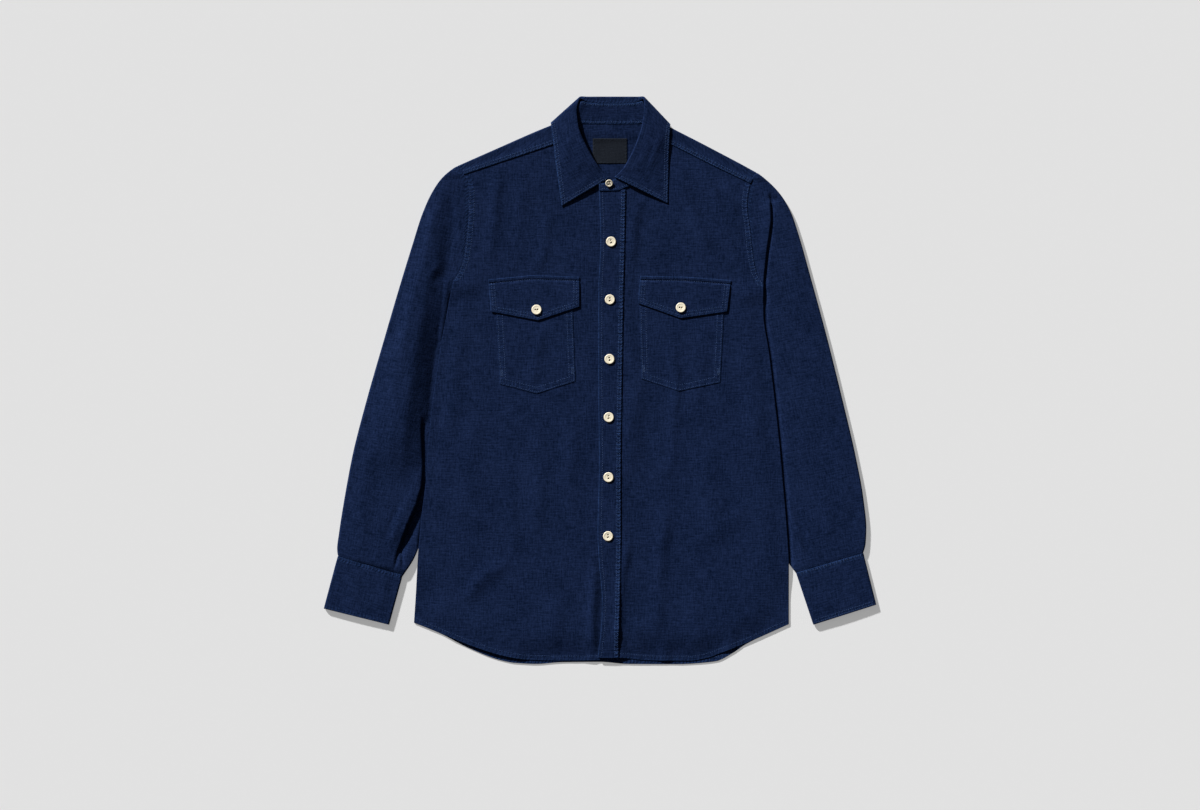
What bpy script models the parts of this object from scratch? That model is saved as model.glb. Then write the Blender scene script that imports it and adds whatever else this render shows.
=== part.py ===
"""A long-sleeved work shirt in indigo cloth, buttoned and laid flat on its back.

Frame: X to the viewer's right (the wearer's left), Y towards the collar, Z up. The origin is on the
surface the shirt lies on, below the middle of its outline. Tables and sizes are in millimetres and
each mesh is scaled to metres as it is made. "right" and "left" are the wearer's, so right is -X.

Every cloth piece is a mid-surface with a Solidify wall. Heights are worked out from the layer below:
the back lies on the surface, the sleeves' inner edges are tucked under the body's sides, the fronts
lie on the back, and what is sewn to a front is made from the front's own height, moved out.
"""
import bpy
import numpy as np

MM = 0.001
CLOTH = 1.0                 # wall of a single layer
HALF = CLOTH / 2            # mid-surface height of a layer that lies on the surface
CUFF_WALL = 1.4             # a cuff is doubled and lined
SEAM = 0.4                  # gap between pieces that meet edge to edge
STACK = CLOTH + 0.4         # mid-surface distance of two layers that lie on each other

SHOULDER_GAP = 3.6          # front above back where the yoke rolls over the shoulder
SIDE_GAP = STACK            # front above back along the side seams
SLEEVE_RISE = 3.95          # how far the body's sides are lifted by the sleeves under them
SLEEVE_TUCK = 12.0          # how far a sleeve reaches in under the body's side
COLLAR_RISE = 1.5           # how far the yoke is lifted by the collar leaf under it
BUTTON_DIAMETER = 14.0
BUTTON_HEIGHT = 2.8
BUTTON_SIDES = 12

PIT_Y = {"right": 141.0, "left": 134.0}
SHOULDER_END = {"right": (-203.0, 304.0), "left": (223.0, 294.5)}
SHOULDER_POINT = {"right": (-45.5, 371.5), "left": (78.0, 371.0)}   # where shoulder and neck meet
YOKE_CORNER = {"right": (-51.0, 340.0), "left": (84.0, 342.0)}      # where yoke seam and neck meet
COLLAR_MIDDLE_X = 16.5
# Heights at which body and sleeve share points along the armhole, from armpit to shoulder.
ARMHOLE_SHARES = np.array((0, 0.09, 0.19, 0.3, 0.42, 0.54, 0.66, 0.77, 0.86, 0.93))


def table(columns, *rows):
    """A short table as named columns, {name: array}."""
    return dict(zip(columns.split(), np.array(rows, float).T))


# Outline of the body from above: armhole seam down to the armpit, then the side down to the hem.
EDGE = {
    "right": table("y x",
                   (-344, -264), (-298, -261), (-246, -258), (-192, -253), (-142, -247),
                   (-85, -243), (-28, -237), (28, -229), (85, -219), (141, -207),
                   (156, -199), (175, -193), (205, -189), (241, -186), (278, -186),
                   (290, -192), (304, -203)),
    "left": table("y x",
                  (-346, 268), (-266, 268), (-210, 265), (-150, 260), (-104, 256),
                  (-55, 251), (-3, 245), (38, 240), (94, 232), (134, 231.5),
                  (151, 223), (180, 217), (217, 213), (246, 209), (278, 213),
                  (286, 217), (294.5, 223)),
}
# Shoulder fold, with the curved back neck between the two shoulder points.
SHOULDER = table("x y",
                 (-203, 303.5), (-150, 327), (-100, 349), (-68, 362.5), (-45.5, 371.5),
                 (-28, 368.5), (16.5, 367.5), (61, 368.5), (78, 371), (98, 360),
                 (150, 333), (190, 312), (223, 294))
# Seam between yoke and fronts, a little down the chest, and the front neck inside it.
FRONT_TOP = {
    "right": table("x y", (-203, 289), (-140, 310), (-70, 333.5), (-51, 340), (-47, 326),
                   (-38, 302), (-18, 283), (8, 273), (34, 271)),
    "left": table("x y", (-6, 271), (26, 273), (50, 283), (70, 302), (80, 326), (84, 342),
                  (100, 335), (160, 305), (223, 275)),
}
SIDE_SPAN = {"right": (291.9, -343.5), "left": (279.0, -346.0)}   # fronts, yoke seam to hem
YOKE_BACK = table("x y", (-203, 264), (16.5, 273), (223, 264))
FRONT_HEM = {
    "right": table("x y", (-264, -343.5), (-219, -362), (-180, -377.5), (-137, -391),
                   (-104, -396.5), (-57, -398), (34, -396)),
    "left": table("x y", (-6, -395), (28, -394), (70, -397.5), (127, -398), (152, -394),
                  (174, -386), (206, -373.5), (268, -346)),
}
BACK_HEM = table("x y", (-264, -344), (-227, -359), (-185, -380.5), (-142, -397), (-121, -401),
                 (-90, -402.5), (-55, -400), (0, -399.5), (40, -402.5), (109, -402.8),
                 (163, -399), (190, -386), (206, -375), (268, -346))
# Free edge of the placket (the left front laps over the right) and its sewn edge.
PLACKET = table("y free sewn",
                (-394, -3, 26), (-340, 2.5, 27), (-310, 3, 28), (-260, -1, 29), (-215, -3, 29.5),
                (-120, -1, 29.5), (0, -2, 31), (120, -2, 33), (200, 1, 35), (262, -1, 36))

# Largest folds: a soft ridge (height above 0) or trough (below 0) along a line, of a given width.
FRONT_FOLDS = table("x0 y0 x1 y1 width height",
                    (48, -170, 62, -396, 13, -1.2),
                    (84, -260, 96, -398, 15, 1.2),
                    (-20, -240, -26, -398, 12, -1.1),
                    (-70, -120, -96, -396, 26, 0.8),
                    (150, 60, 170, -330, 30, 0.8),
                    (-150, 60, -176, -300, 32, 0.9),
                    (-60, 90, -64, -120, 20, -0.7),
                    (120, 250, 96, 160, 16, -0.6),
                    (-120, 262, -96, 168, 18, -0.7),
                    (46, 240, 50, 60, 9, -0.7))
SLEEVE_FOLDS = {
    "right": table("x0 y0 x1 y1 width height",
                   (-222, 272, -212, 150, 9, -1.2),
                   (-240, 200, -250, 10, 14, -1.4),
                   (-258, 0, -262, -120, 10, -1.6),
                   (-264, -120, -286, -236, 9, 0.9),
                   (-252, -150, -275, -240, 6, -2.2),
                   (-300, -190, -312, -262, 9, 0.6)),
    "left": table("x0 y0 x1 y1 width height",
                  (243, 266, 233, 140, 8, -1.8),
                  (292, -150, 306, -252, 9, -1.5),
                  (326, -180, 334, -244, 12, 0.5)),
}

# Sleeve rings, armhole to cuff: height of the ring's armpit-side end and how far it is tucked in
# under the body there, outer end, height of the cloth between them, and how much of the armhole's
# curve and height the ring still has.
SLEEVE_RINGS = {
    "right": table("inner_y tuck outer_x outer_y mound armhole",
                   (141, -0.4, -203, 304, 4.4, 1.0),
                   (137, -0.6, -213, 297, 4.4, 0.85),
                   (132, -0.6, -225, 286, 4.6, 0.6),
                   (125, -0.6, -238.5, 266, 4.8, 0.35),
                   (117, -0.6, -252, 236, 5.0, 0.04),
                   (84, 9, -267, 189, 5.2, 0),
                   (28, 12, -286, 127, 5.4, 0),
                   (-28, 12, -308, 52, 5.4, 0),
                   (-85, 11, -331, -28, 5.4, 0),
                   (-142, 11, -351, -106, 5.4, 0),
                   (-190, 9, -363, -170, 5.3, 0),
                   (-226, 3, -370, -214, 5.2, 0),
                   (-252, -5, -373, -238, 5.0, 0),
                   (-276.5, -19, -372, -250, 4.7, 0)),
    "left": table("inner_y tuck outer_x outer_y mound armhole",
                  (134, -0.4, 223, 294.5, 4.4, 1.0),
                  (130, -0.6, 234, 286, 4.4, 0.85),
                  (125, -0.6, 246, 275, 4.6, 0.6),
                  (118, -0.6, 258, 261, 4.8, 0.35),
                  (109, -0.6, 271, 238, 5.0, 0.04),
                  (76, 8, 282, 206, 5.2, 0),
                  (28, 10, 300, 142, 5.4, 0),
                  (-28, 12, 321, 65, 5.4, 0),
                  (-85, 12, 342, -19, 5.4, 0),
                  (-142, 12, 362, -104, 5.4, 0),
                  (-190, 11, 373, -162, 5.3, 0),
                  (-228, 9, 378, -208, 5.2, 0),
                  (-254, 3, 377, -231, 5.0, 0),
                  (-274, -10.5, 373.5, -245.5, 4.7, 0)),
}
SLEEVE_RING_COUNT = 24
SLEEVE_EDGE_RADIUS = 1.3     # roll of the cloth at the sleeve's tucked edge
SLEEVE_FOLD_RADIUS = 2.1     # and at its outer fold
CUFF_CORNERS = {             # seam inner, seam outer, hem inner, hem outer
    "right": ((-279.8, -277.2), (-372.3, -250.6), (-299, -346.5), (-392, -323.5)),
    "left": ((278.3, -274.6), (373.9, -246.2), (302.5, -346.5), (392, -318)),
}
CUFF_RADIUS = 1.6

# Collar, from the right front round the back of the neck to the left front. Each rib has the roll
# line, the leaf's outer edge, the way the leaf faces (0 is up, 90 is out from the neck, 180 is down)
# and the band's lower edge, where it is sewn to the neck.
COLLAR_RIBS = table("roll_x roll_y roll_z edge_x edge_y edge_z facing neck_x neck_y neck_z",
                    (12, 286.5, 6.0, -54, 247, 8.8, 0, 9, 272.6, 5.8),
                    (5.5, 292.5, 6.0, -56, 261.5, 8.7, 0, -12, 278.5, 5.7),
                    (-3, 304, 6.1, -58, 276, 8.6, 0, -33, 294, 5.6),
                    (-19.5, 332, 6.2, -63, 312, 8.4, 0, -48, 321, 5.6),
                    (-30.5, 360, 6.3, -66.5, 343, 8.2, 0, -52.5, 343, 6.0),
                    (-33, 382, 6.4, -68, 354, 8.0, 8, -48, 357, 6.3),
                    (-29.5, 395, 5.8, -69, 362, 7.0, 38, -43, 366, 5.6),
                    (-26.5, 400, 4.9, -69.6, 365.2, 3.6, 90, -42, 368.5, 4.8),
                    (-23, 401.5, 4.1, -66, 362, 0.8, 142, -38, 367, 3.7),
                    (-16, 402, 3.6, -55, 358, HALF, 178, -28, 365, 3.5),
                    (0, 402.1, 3.5, -16, 357, HALF, 180, -8, 364, 3.4),
                    (16.5, 402.1, 3.5, 16.5, 357, HALF, 180, 16.5, 364, 3.4),
                    (33, 402.1, 3.5, 48, 357, HALF, 180, 41, 364, 3.4),
                    (50, 402, 3.6, 84, 357.5, HALF, 178, 61, 365, 3.5),
                    (58, 401.5, 4.1, 96, 360, 0.8, 142, 71, 367, 3.7),
                    (60, 400, 4.9, 99.6, 363, 3.6, 90, 75, 368.5, 4.8),
                    (62, 396, 5.8, 99.2, 360, 7.0, 38, 76, 366, 5.6),
                    (63, 384, 6.3, 98.6, 352, 8.0, 8, 81, 357, 6.4),
                    (60, 362, 6.3, 98, 341, 8.2, 0, 85.5, 344, 6.0),
                    (48, 328, 6.4, 97, 312, 8.5, 0, 80.5, 320, 5.7),
                    (33, 300, 6.8, 96.5, 280, 8.9, 0, 68, 298, 5.9),
                    (27, 293.5, 7.2, 96, 265, 9.2, 0, 49, 280, 6.8),
                    (21, 288, 7.6, 96, 251, 9.4, 0, 26, 269.3, 8.0))
COLLAR_RIB_COUNT = 45
LIP = 1.6                    # how far the leaf runs on below the roll to the band, on the fronts
BACK_LIP = 8.0               # and at the back neck
# The band's ends beyond the leaf: the left one, on top, carries the buttonhole.
BAND_RIGHT_END = table("neck_x neck_y neck_z top_x top_y top_z",
                       (23, 273.4, 5.8, 22, 280, 5.9), (17, 272.6, 5.8, 13, 280.5, 5.9))
BAND_LEFT_END = table("neck_x neck_y neck_z top_x top_y top_z",
                      (10, 269, 8.0, 9, 279.8, 8.2), (-1, 269, 8.0, -1, 278, 8.2))

POCKETS = {   # upper corners, lower corners and point; the mouth is under the flap
    "right": dict(mouth=((-149, 134), (-40, 134)), foot=((-142, -5.5), (-90, -19), (-35, -1.5))),
    "left": dict(mouth=((55.5, 134), (177.5, 134)), foot=((59, 2), (112, -15.5), (170.5, -3))),
}
FLAPS = {     # sewn edge in three points, free edge in three with the buttoned point in the middle
    "right": dict(sewn=((-158, 142.5), (-98, 148.5), (-29.5, 146.5)),
                  free=((-154.5, 97.5), (-88, 85), (-29.5, 104.5))),
    "left": dict(sewn=((57.5, 147.5), (120, 146.5), (185.5, 141.5)),
                 free=((54, 109.5), (114.5, 88), (180, 97.5))),
}
FRONT_BUTTONS = table("x y", (15.6, 196.5), (14, 114.5), (13.4, 30), (12.4, -52.5),
                      (12, -137.5), (11.4, -221))
COLLAR_BUTTON = (12.8, 277.0)
FLAP_BUTTONS = {"right": (-90, 100), "left": (114.5, 103)}
LABEL = dict(left=-10, right=38, bottom=308, top=343, wall=1.0)

INDIGO = (0.0075, 0.0155, 0.046, 1.0)
SHELL_WHITE = (0.80, 0.74, 0.58, 1.0)
LABEL_INK = (0.012, 0.015, 0.022, 1.0)


# Arithmetic shared by all pieces -------------------------------------------------------------

def smooth_line(at, knots, values):
    """A curve through the knots that doesn't overshoot them: cubic between each two, with harmonic
    mean slopes. Beyond the ends it holds the end value."""
    step = np.diff(knots)
    slope = np.diff(values) / step
    both = slope[1:] * slope[:-1]
    total = np.where(both > 0, slope[1:] + slope[:-1], 1.0)
    tangent = np.concatenate([slope[:1], np.where(both > 0, 2 * both / total, 0.0), slope[-1:]])
    i = np.clip(np.searchsorted(knots, at, side="right") - 1, 0, len(step) - 1)
    t = np.clip((at - knots[i]) / step[i], 0, 1)
    start, end = values[i], values[i + 1]
    return (start * (1 + 2 * t) * (1 - t) ** 2 + end * t * t * (3 - 2 * t)
            + step[i] * (tangent[i] * t * (1 - t) ** 2 - tangent[i + 1] * t * t * (1 - t)))


def along(columns, by, name, at):
    """Column `name` of a table, read smoothly where column `by` is `at`."""
    return smooth_line(np.asarray(at, float), columns[by], columns[name])


def spread_rows(columns, count):
    """A table read at `count` even places along its rows, as {name: array}."""
    rows = np.arange(len(next(iter(columns.values()))), dtype=float)
    at = np.linspace(0, rows[-1], count)
    return {name: smooth_line(at, rows, values) for name, values in columns.items()}


def ramp(value, low, high):
    """0 below low, 1 above high, and a smooth step between."""
    t = np.clip((value - low) / (high - low), 0, 1)
    return t * t * (3 - 2 * t)


def mix(a, b, t):
    return a + (b - a) * t


def folds(rows, x, y):
    """Sum of the folds at (x, y): each is a bell across its line and fades out at its two ends."""
    total = np.zeros(np.broadcast(x, y).shape)
    for x0, y0, x1, y1, width, height in zip(*rows.values()):
        length = np.hypot(x1 - x0, y1 - y0)
        way = ((x - x0) * (x1 - x0) + (y - y0) * (y1 - y0)) / length
        across = ((x - x0) * (y1 - y0) - (y - y0) * (x1 - x0)) / length
        fade = ramp(way, -0.15 * length, 0.3 * length) * (1 - ramp(way, 0.7 * length, 1.15 * length))
        total = total + height * fade * np.exp(-(across / width) ** 2)
    return total


# Heights of the layers -----------------------------------------------------------------------

def edge_x(side, y):
    return along(EDGE[side], "y", "x", y)


def inset(side, x, y):
    """How far (x, y) lies inside that side's edge of the body."""
    return x - edge_x(side, y) if side == "right" else edge_x(side, y) - x


def side_lift(side, x, y):
    """The body's side, 0 to 1, where a sleeve lies under it: from below the armpit to the cuff."""
    lengthwise = ramp(-y, -PIT_Y[side] - 16, -PIT_Y[side] + 18) * (1 - ramp(-y, 262, 312))
    return lengthwise * (1 - ramp(inset(side, x, y), SLEEVE_TUCK + 5, SLEEVE_TUCK + 36))


def collar_lift(x, y):
    """The yoke, 0 to 1, where the back of the collar leaf lies under it."""
    return ramp(y, 334, 352) * ramp(x, -92, -72) * (1 - ramp(x, 103, 122))


def back_height(x, y):
    """Mid-surface of the back and of the yoke's back half."""
    lift = side_lift("right", x, y) + side_lift("left", x, y)
    return HALF + SLEEVE_RISE * lift + COLLAR_RISE * collar_lift(x, y)


def front_height(x, y):
    """Mid-surface of the fronts and of the yoke's front strip, above the back."""
    gap = SHOULDER_GAP - 0.6 * collar_lift(x, y)
    for side in ("right", "left"):
        below_pit = ramp(-y, -PIT_Y[side] + 2, -PIT_Y[side] + 30)
        at_side = 1 - ramp(inset(side, x, y), 0, 30)
        gap = gap - (SHOULDER_GAP - SIDE_GAP) * below_pit * at_side
    inside = np.minimum(inset("right", x, y), inset("left", x, y))
    return back_height(x, y) + gap + folds(FRONT_FOLDS, x, y) * ramp(inside, 2, 24)


def lap(x, y):
    """1 where the two fronts lap over each other under the placket, falling to 0 outside it."""
    free, sewn = (along(PLACKET, "y", name, y) for name in ("free", "sewn"))
    return ramp(x, free - 14, free - 3) * (1 - ramp(x, sewn + 3, sewn + 22))


def outer_front_height(x, y):
    """Mid-surface of what shows of the fronts: the left one is on top where they lap."""
    return front_height(x, y) + 1.0 * lap(x, y)


# Meshes --------------------------------------------------------------------------------------

def grid_faces(rows, columns, closed=False):
    """Quads of a grid of points, row by row. A closed grid joins its last column to its first."""
    i, j = np.meshgrid(np.arange(rows - 1), np.arange(columns if closed else columns - 1),
                       indexing="ij")
    after = (j + 1) % columns
    quads = [i * columns + j, (i + 1) * columns + j, (i + 1) * columns + after, i * columns + after]
    return np.stack(quads, axis=-1).reshape(-1, 4)


def cloth_piece(name, points, faces, wall=CLOTH):
    """A cloth piece: its mid-surface in millimetres, given a wall by Solidify."""
    mesh = bpy.data.meshes.new(name)
    mesh.from_pydata((np.asarray(points).reshape(-1, 3) * MM).tolist(), [], faces.tolist())
    mesh.validate()
    mesh.shade_smooth()
    piece = bpy.data.objects.new(name, mesh)
    SHIRT.objects.link(piece)
    piece.data.materials.append(MATERIALS["indigo"])
    solidify = piece.modifiers.new("wall", "SOLIDIFY")
    solidify.thickness = wall * MM
    solidify.offset = 0
    return piece


def material(name, colour, roughness):
    made = bpy.data.materials.new(name)
    made.use_nodes = True
    shader = made.node_tree.nodes["Principled BSDF"]
    shader.inputs["Base Color"].default_value = colour
    shader.inputs["Roughness"].default_value = roughness
    shader.inputs["Metallic"].default_value = 0.0
    return made


def panel_points(side_right, side_left, top, bottom, across, down):
    """Plan points of a panel bounded by x = side(y) and y = top(x), y = bottom(x).

    `across` runs 0 to 1 from the right side to the left, and `down` 0 to 1 from top to bottom. A
    column's ends are found by walking to where it meets the top and bottom curves."""
    def x_of(share, y):
        return mix(side_right(y), side_left(y), share)

    upper, lower = np.full(len(across), 300.0), np.full(len(across), -350.0)
    for _ in range(40):
        upper = mix(upper, top(x_of(across, upper)), 0.5)
        lower = mix(lower, bottom(x_of(across, lower)), 0.5)
    y = mix(upper[None, :], lower[None, :], down[:, None])
    return x_of(across[None, :], y), y


def panel_rows(side, top_y, hem_y):
    """Rows of a body panel as shares of its side's length: on the armhole's shared points down to
    the armpit, closely below it, and then evenly to the hem."""
    pit_y, end_y = PIT_Y[side], SHOULDER_END[side][1]
    armhole = (pit_y + ARMHOLE_SHARES * (end_y - pit_y))[::-1]
    below = pit_y - np.array((9, 18, 30, 50, 82))
    y = np.concatenate([[top_y], armhole[armhole < top_y - 3], below,
                        np.linspace(below[-1] - 45, hem_y, 9)])
    return (top_y - y) / (top_y - hem_y)


# Body ----------------------------------------------------------------------------------------

def build_back():
    """One panel from the yoke seam to the tail, on the surface but for its lifted sides."""
    across = np.array((0, 0.03, 0.06, 0.1, 0.15, 0.22, 0.3, 0.42, 0.58, 0.7, 0.78, 0.85, 0.9, 0.94, 0.97, 1))
    x, y = panel_points(lambda y: edge_x("right", y) + SEAM, lambda y: edge_x("left", y) - SEAM,
                        lambda x: along(YOKE_BACK, "x", "y", x) - SEAM,
                        lambda x: along(BACK_HEM, "x", "y", x), across, panel_rows("right", 264, -344))
    points = np.stack([x, y, back_height(x, y)], axis=-1)
    return cloth_piece("back", points, grid_faces(*x.shape))


def build_front(side):
    """One front, from the yoke seam and neck to the hem. The right one goes on under the placket
    as its button stand and the left one ends in the placket's free edge."""
    top = FRONT_TOP[side]
    hem = FRONT_HEM[side]
    corner_x, corner_y = YOKE_CORNER[side]
    if side == "right":
        sides = (lambda y: edge_x("right", y) + SEAM, lambda y: along(PLACKET, "y", "sewn", y))
        before, after = np.array((0, 0.06, 0.13, 0.25, 0.42)), np.array((0.72, 0.8, 0.87, 0.93, 1))
    else:
        sides = (lambda y: along(PLACKET, "y", "free", y), lambda y: edge_x("left", y) - SEAM)
        before, after = np.array((0, 0.07, 0.13, 0.2, 0.28)), np.array((0.55, 0.7, 0.79, 0.87, 0.94, 1))
    at_corner = (corner_x - sides[0](corner_y)) / (sides[1](corner_y) - sides[0](corner_y))
    across = np.concatenate([before, [before[-1] / 2 + at_corner / 2, at_corner,
                                      after[0] / 2 + at_corner / 2], after])
    x, y = panel_points(*sides, lambda x: along(top, "x", "y", x) - SEAM,
                        lambda x: along(hem, "x", "y", x), across, panel_rows(side, *SIDE_SPAN[side]))
    height = outer_front_height(x, y) if side == "left" else front_height(x, y) - 0.4 * lap(x, y)
    return cloth_piece("front_" + side, np.stack([x, y, height], axis=-1), grid_faces(*x.shape))


def build_yoke():
    """Yoke: the upper back, rolled over both shoulders to a narrow strip on each front.

    A column climbs the back. On a shoulder it goes on round the fold and down the front strip, and
    between the shoulder points it ends at the back neck."""
    neck_right, neck_left = SHOULDER_POINT["right"][0], SHOULDER_POINT["left"][0]
    right_end, left_end = SHOULDER_END["right"][0], SHOULDER_END["left"][0]
    columns = np.concatenate([np.linspace(right_end, neck_right, 8),
                              np.linspace(neck_right, neck_left, 7)[1:-1],
                              np.linspace(neck_left, left_end, 8)])
    across = (columns - right_end) / (left_end - right_end)
    fold_inset = SHOULDER_GAP / 2 + HALF
    x, y = panel_points(lambda y: edge_x("right", y) + SEAM, lambda y: edge_x("left", y) - SEAM,
                        lambda x: along(SHOULDER, "x", "y", x) - fold_inset,
                        lambda x: along(YOKE_BACK, "x", "y", x) + SEAM, across,
                        np.array((1, 0.8, 0.55, 0.35, 0.18, 0)))
    rows = list(np.stack([x, y, back_height(x, y)], axis=-1))
    top_x, top_y = x[-1], y[-1]
    low, high = back_height(top_x, top_y), front_height(top_x, top_y)
    for turn in np.radians((45, 90, 135)):
        radius = (high - low) / 2
        rows.append(np.stack([top_x, top_y + radius * np.sin(turn),
                              low + radius * (1 - np.cos(turn))], axis=-1))

    def strip_limits(wanted_x, strip_y):
        """A strip's point, kept between the armhole and the neck's side."""
        limits = []
        for side in ("right", "left"):
            (point_x, point_y), (corner_x, corner_y) = SHOULDER_POINT[side], YOKE_CORNER[side]
            limits.append(mix(point_x, corner_x, (point_y - strip_y) / (point_y - corner_y)))
        kept = np.where(columns < COLLAR_MIDDLE_X, np.minimum(wanted_x, limits[0]),
                        np.maximum(wanted_x, limits[1]))
        return np.clip(kept, edge_x("right", strip_y) + SEAM, edge_x("left", strip_y) - SEAM)

    seam_x, seam_y = top_x, top_y - 25
    for _ in range(20):
        seam_x = strip_limits(top_x, seam_y)
        seam_y = np.where(seam_x < COLLAR_MIDDLE_X, along(FRONT_TOP["right"], "x", "y", seam_x),
                          along(FRONT_TOP["left"], "x", "y", seam_x)) + SEAM
    for part in (0.0, 0.5, 1.0):
        strip_y = mix(top_y, seam_y, part)
        strip_x = strip_limits(mix(top_x, seam_x, part), strip_y)
        rows.append(np.stack([strip_x, strip_y, front_height(strip_x, strip_y)], axis=-1))
    points = np.array(rows)
    faces = grid_faces(*points.shape[:2])
    row, column = faces[:, 0] // len(columns), faces[:, 0] % len(columns)
    on_shoulder = (columns[column + 1] <= neck_right + 0.01) | (columns[column] >= neck_left - 0.01)
    faces = faces[(row < len(x) - 1) | on_shoulder]
    used = np.unique(faces)
    return cloth_piece("yoke", points.reshape(-1, 3)[used], np.searchsorted(used, faces))


def build_placket():
    """Placket: the strip on the left front's free edge that carries the buttonholes."""
    y = np.linspace(270, -393.6, 34)
    free, sewn = (along(PLACKET, "y", name, y) for name in ("free", "sewn"))
    share = np.array([0.0, 0.5, 1.0])
    x = mix(free[:, None], sewn[:, None], share[None, :])
    y = np.broadcast_to(y[:, None], x.shape)
    points = np.stack([x, y, outer_front_height(x, y) + STACK], axis=-1)
    return cloth_piece("placket", points, grid_faces(*x.shape))


# Sleeves and cuffs ---------------------------------------------------------------------------

def rolled(end, inward, radius, low, high, count):
    """Section points round a rolled edge, from its lower layer to its upper one, in plan and
    height. `end` is the edge's outermost point and `inward` the way back into the piece."""
    turn = np.linspace(0, np.pi, count)[1:-1]
    centre = end + inward * (radius + HALF)
    plan = centre - inward * (radius * np.sin(turn))[:, None]
    return plan, mix(low, high, (1 - np.cos(turn)) / 2)


def build_sleeve(side):
    """Sleeve: a flattened tube lofted through rings, from the armhole seam to the cuff seam.

    Each ring has a lower layer on the surface and an upper one that is rolled over at the armpit
    side, low enough to pass under the body, and at the outer fold."""
    ring = spread_rows(SLEEVE_RINGS[side], SLEEVE_RING_COUNT)
    outward = -1 if side == "right" else 1
    loops = []
    for n in range(SLEEVE_RING_COUNT):
        row = {name: values[n] for name, values in ring.items()}
        inner_x = edge_x(side, row["inner_y"]) - outward * row["tuck"]
        inner = np.array([inner_x, row["inner_y"]])
        outer = np.array([row["outer_x"] + outward * SEAM * row["armhole"], row["outer_y"]])
        length = np.hypot(*(outer - inner))
        way = (outer - inner) / length

        def plan_at(share):
            """Points along the ring, bowed as far as it still follows the armhole."""
            points = inner + way * (length * share)[:, None]
            y = points[:, 1]
            from_armhole = mix(inner[0] - edge_x(side, inner[1]), outer[0] - edge_x(side, outer[1]), share)
            points[:, 0] = mix(points[:, 0], edge_x(side, y) + from_armhole, row["armhole"])
            return points

        def blended(points, free, sewn):
            """A free height, drawn to the body's at the armhole."""
            return mix(free, sewn(*points.T), row["armhole"])

        ends = plan_at(np.array((0.0, 1.0)))
        low = blended(ends, HALF, back_height)
        high_in, high_out = blended(ends, HALF + 2 * np.array((SLEEVE_EDGE_RADIUS,
                                                               SLEEVE_FOLD_RADIUS)), front_height)
        radius_in, radius_out = (high_in - low[0]) / 2, (high_out - low[1]) / 2
        first, last = (radius_in + HALF) / length, 1 - (radius_out + HALF) / length
        inner_shares = ARMHOLE_SHARES[1:]
        upper_share = np.concatenate([[last], inner_shares[::-1], [first]])
        lower_share = np.array((first, 0.3, 0.6, last))
        lower, upper = plan_at(lower_share), plan_at(upper_share)
        lower_z = blended(lower, HALF, back_height)

        from_in, from_out = length * upper_share, length * (1 - upper_share)
        under = max(row["tuck"], 0)
        level = mix(high_in, row["mound"], ramp(from_in, under + 1, under + 34))
        level = mix(high_out, level, ramp(from_out, 0, 22))
        level = blended(upper, level, front_height)
        soft = ramp(from_in, under + 1, under + 16) * ramp(from_out, 2, 20) * ramp(n, 0, 2)
        upper_z = np.maximum(level + folds(SLEEVE_FOLDS[side], *upper.T) * soft, lower_z.max() + STACK)

        outer_plan, outer_z = rolled(ends[1], -way, radius_out, lower_z[-1], upper_z[0], 5)
        inner_plan, inner_z = rolled(ends[0], way, radius_in, lower_z[0], upper_z[-1], 4)
        plan = np.concatenate([lower, outer_plan, upper, inner_plan[::-1]])
        z = np.concatenate([lower_z, outer_z, upper_z, inner_z[::-1]])
        loops.append(np.column_stack([plan, z]))
    points = np.array(loops)
    return cloth_piece("sleeve_" + side, points, grid_faces(*points.shape[:2], closed=True))


def build_cuff(side):
    """Cuff: a doubled band, flattened, open at both ends."""
    seam_in, seam_out, hem_in, hem_out = (np.array(p) for p in CUFF_CORNERS[side])
    half = CUFF_WALL / 2
    loops = []
    for share in np.linspace(0, 1, 5):
        inner, outer = mix(seam_in, hem_in, share), mix(seam_out, hem_out, share)
        way = (outer - inner) / np.hypot(*(outer - inner))
        top = half + 2 * CUFF_RADIUS
        run = np.linspace(0, 1, 7)[:, None]
        reach = (CUFF_RADIUS + half) * way
        flat = mix(inner + reach, outer - reach, run)
        turn = np.linspace(0, np.pi, 6)[1:-1, None]
        bulge = CUFF_RADIUS * np.sin(turn)
        height = half + CUFF_RADIUS * (1 - np.cos(turn))
        crown = 0.5 * np.sin(np.pi * run)
        plan = np.concatenate([flat, outer - reach + way * bulge,
                               flat[::-1], inner + reach - way * bulge[::-1]])
        z = np.concatenate([np.full((7, 1), half), height, top + crown, height[::-1]])
        loops.append(np.column_stack([plan, z]))
    points = np.array(loops)
    faces = grid_faces(*points.shape[:2], closed=True)
    return cloth_piece("cuff_" + side, points, faces, CUFF_WALL)


# Collar --------------------------------------------------------------------------------------

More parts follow.
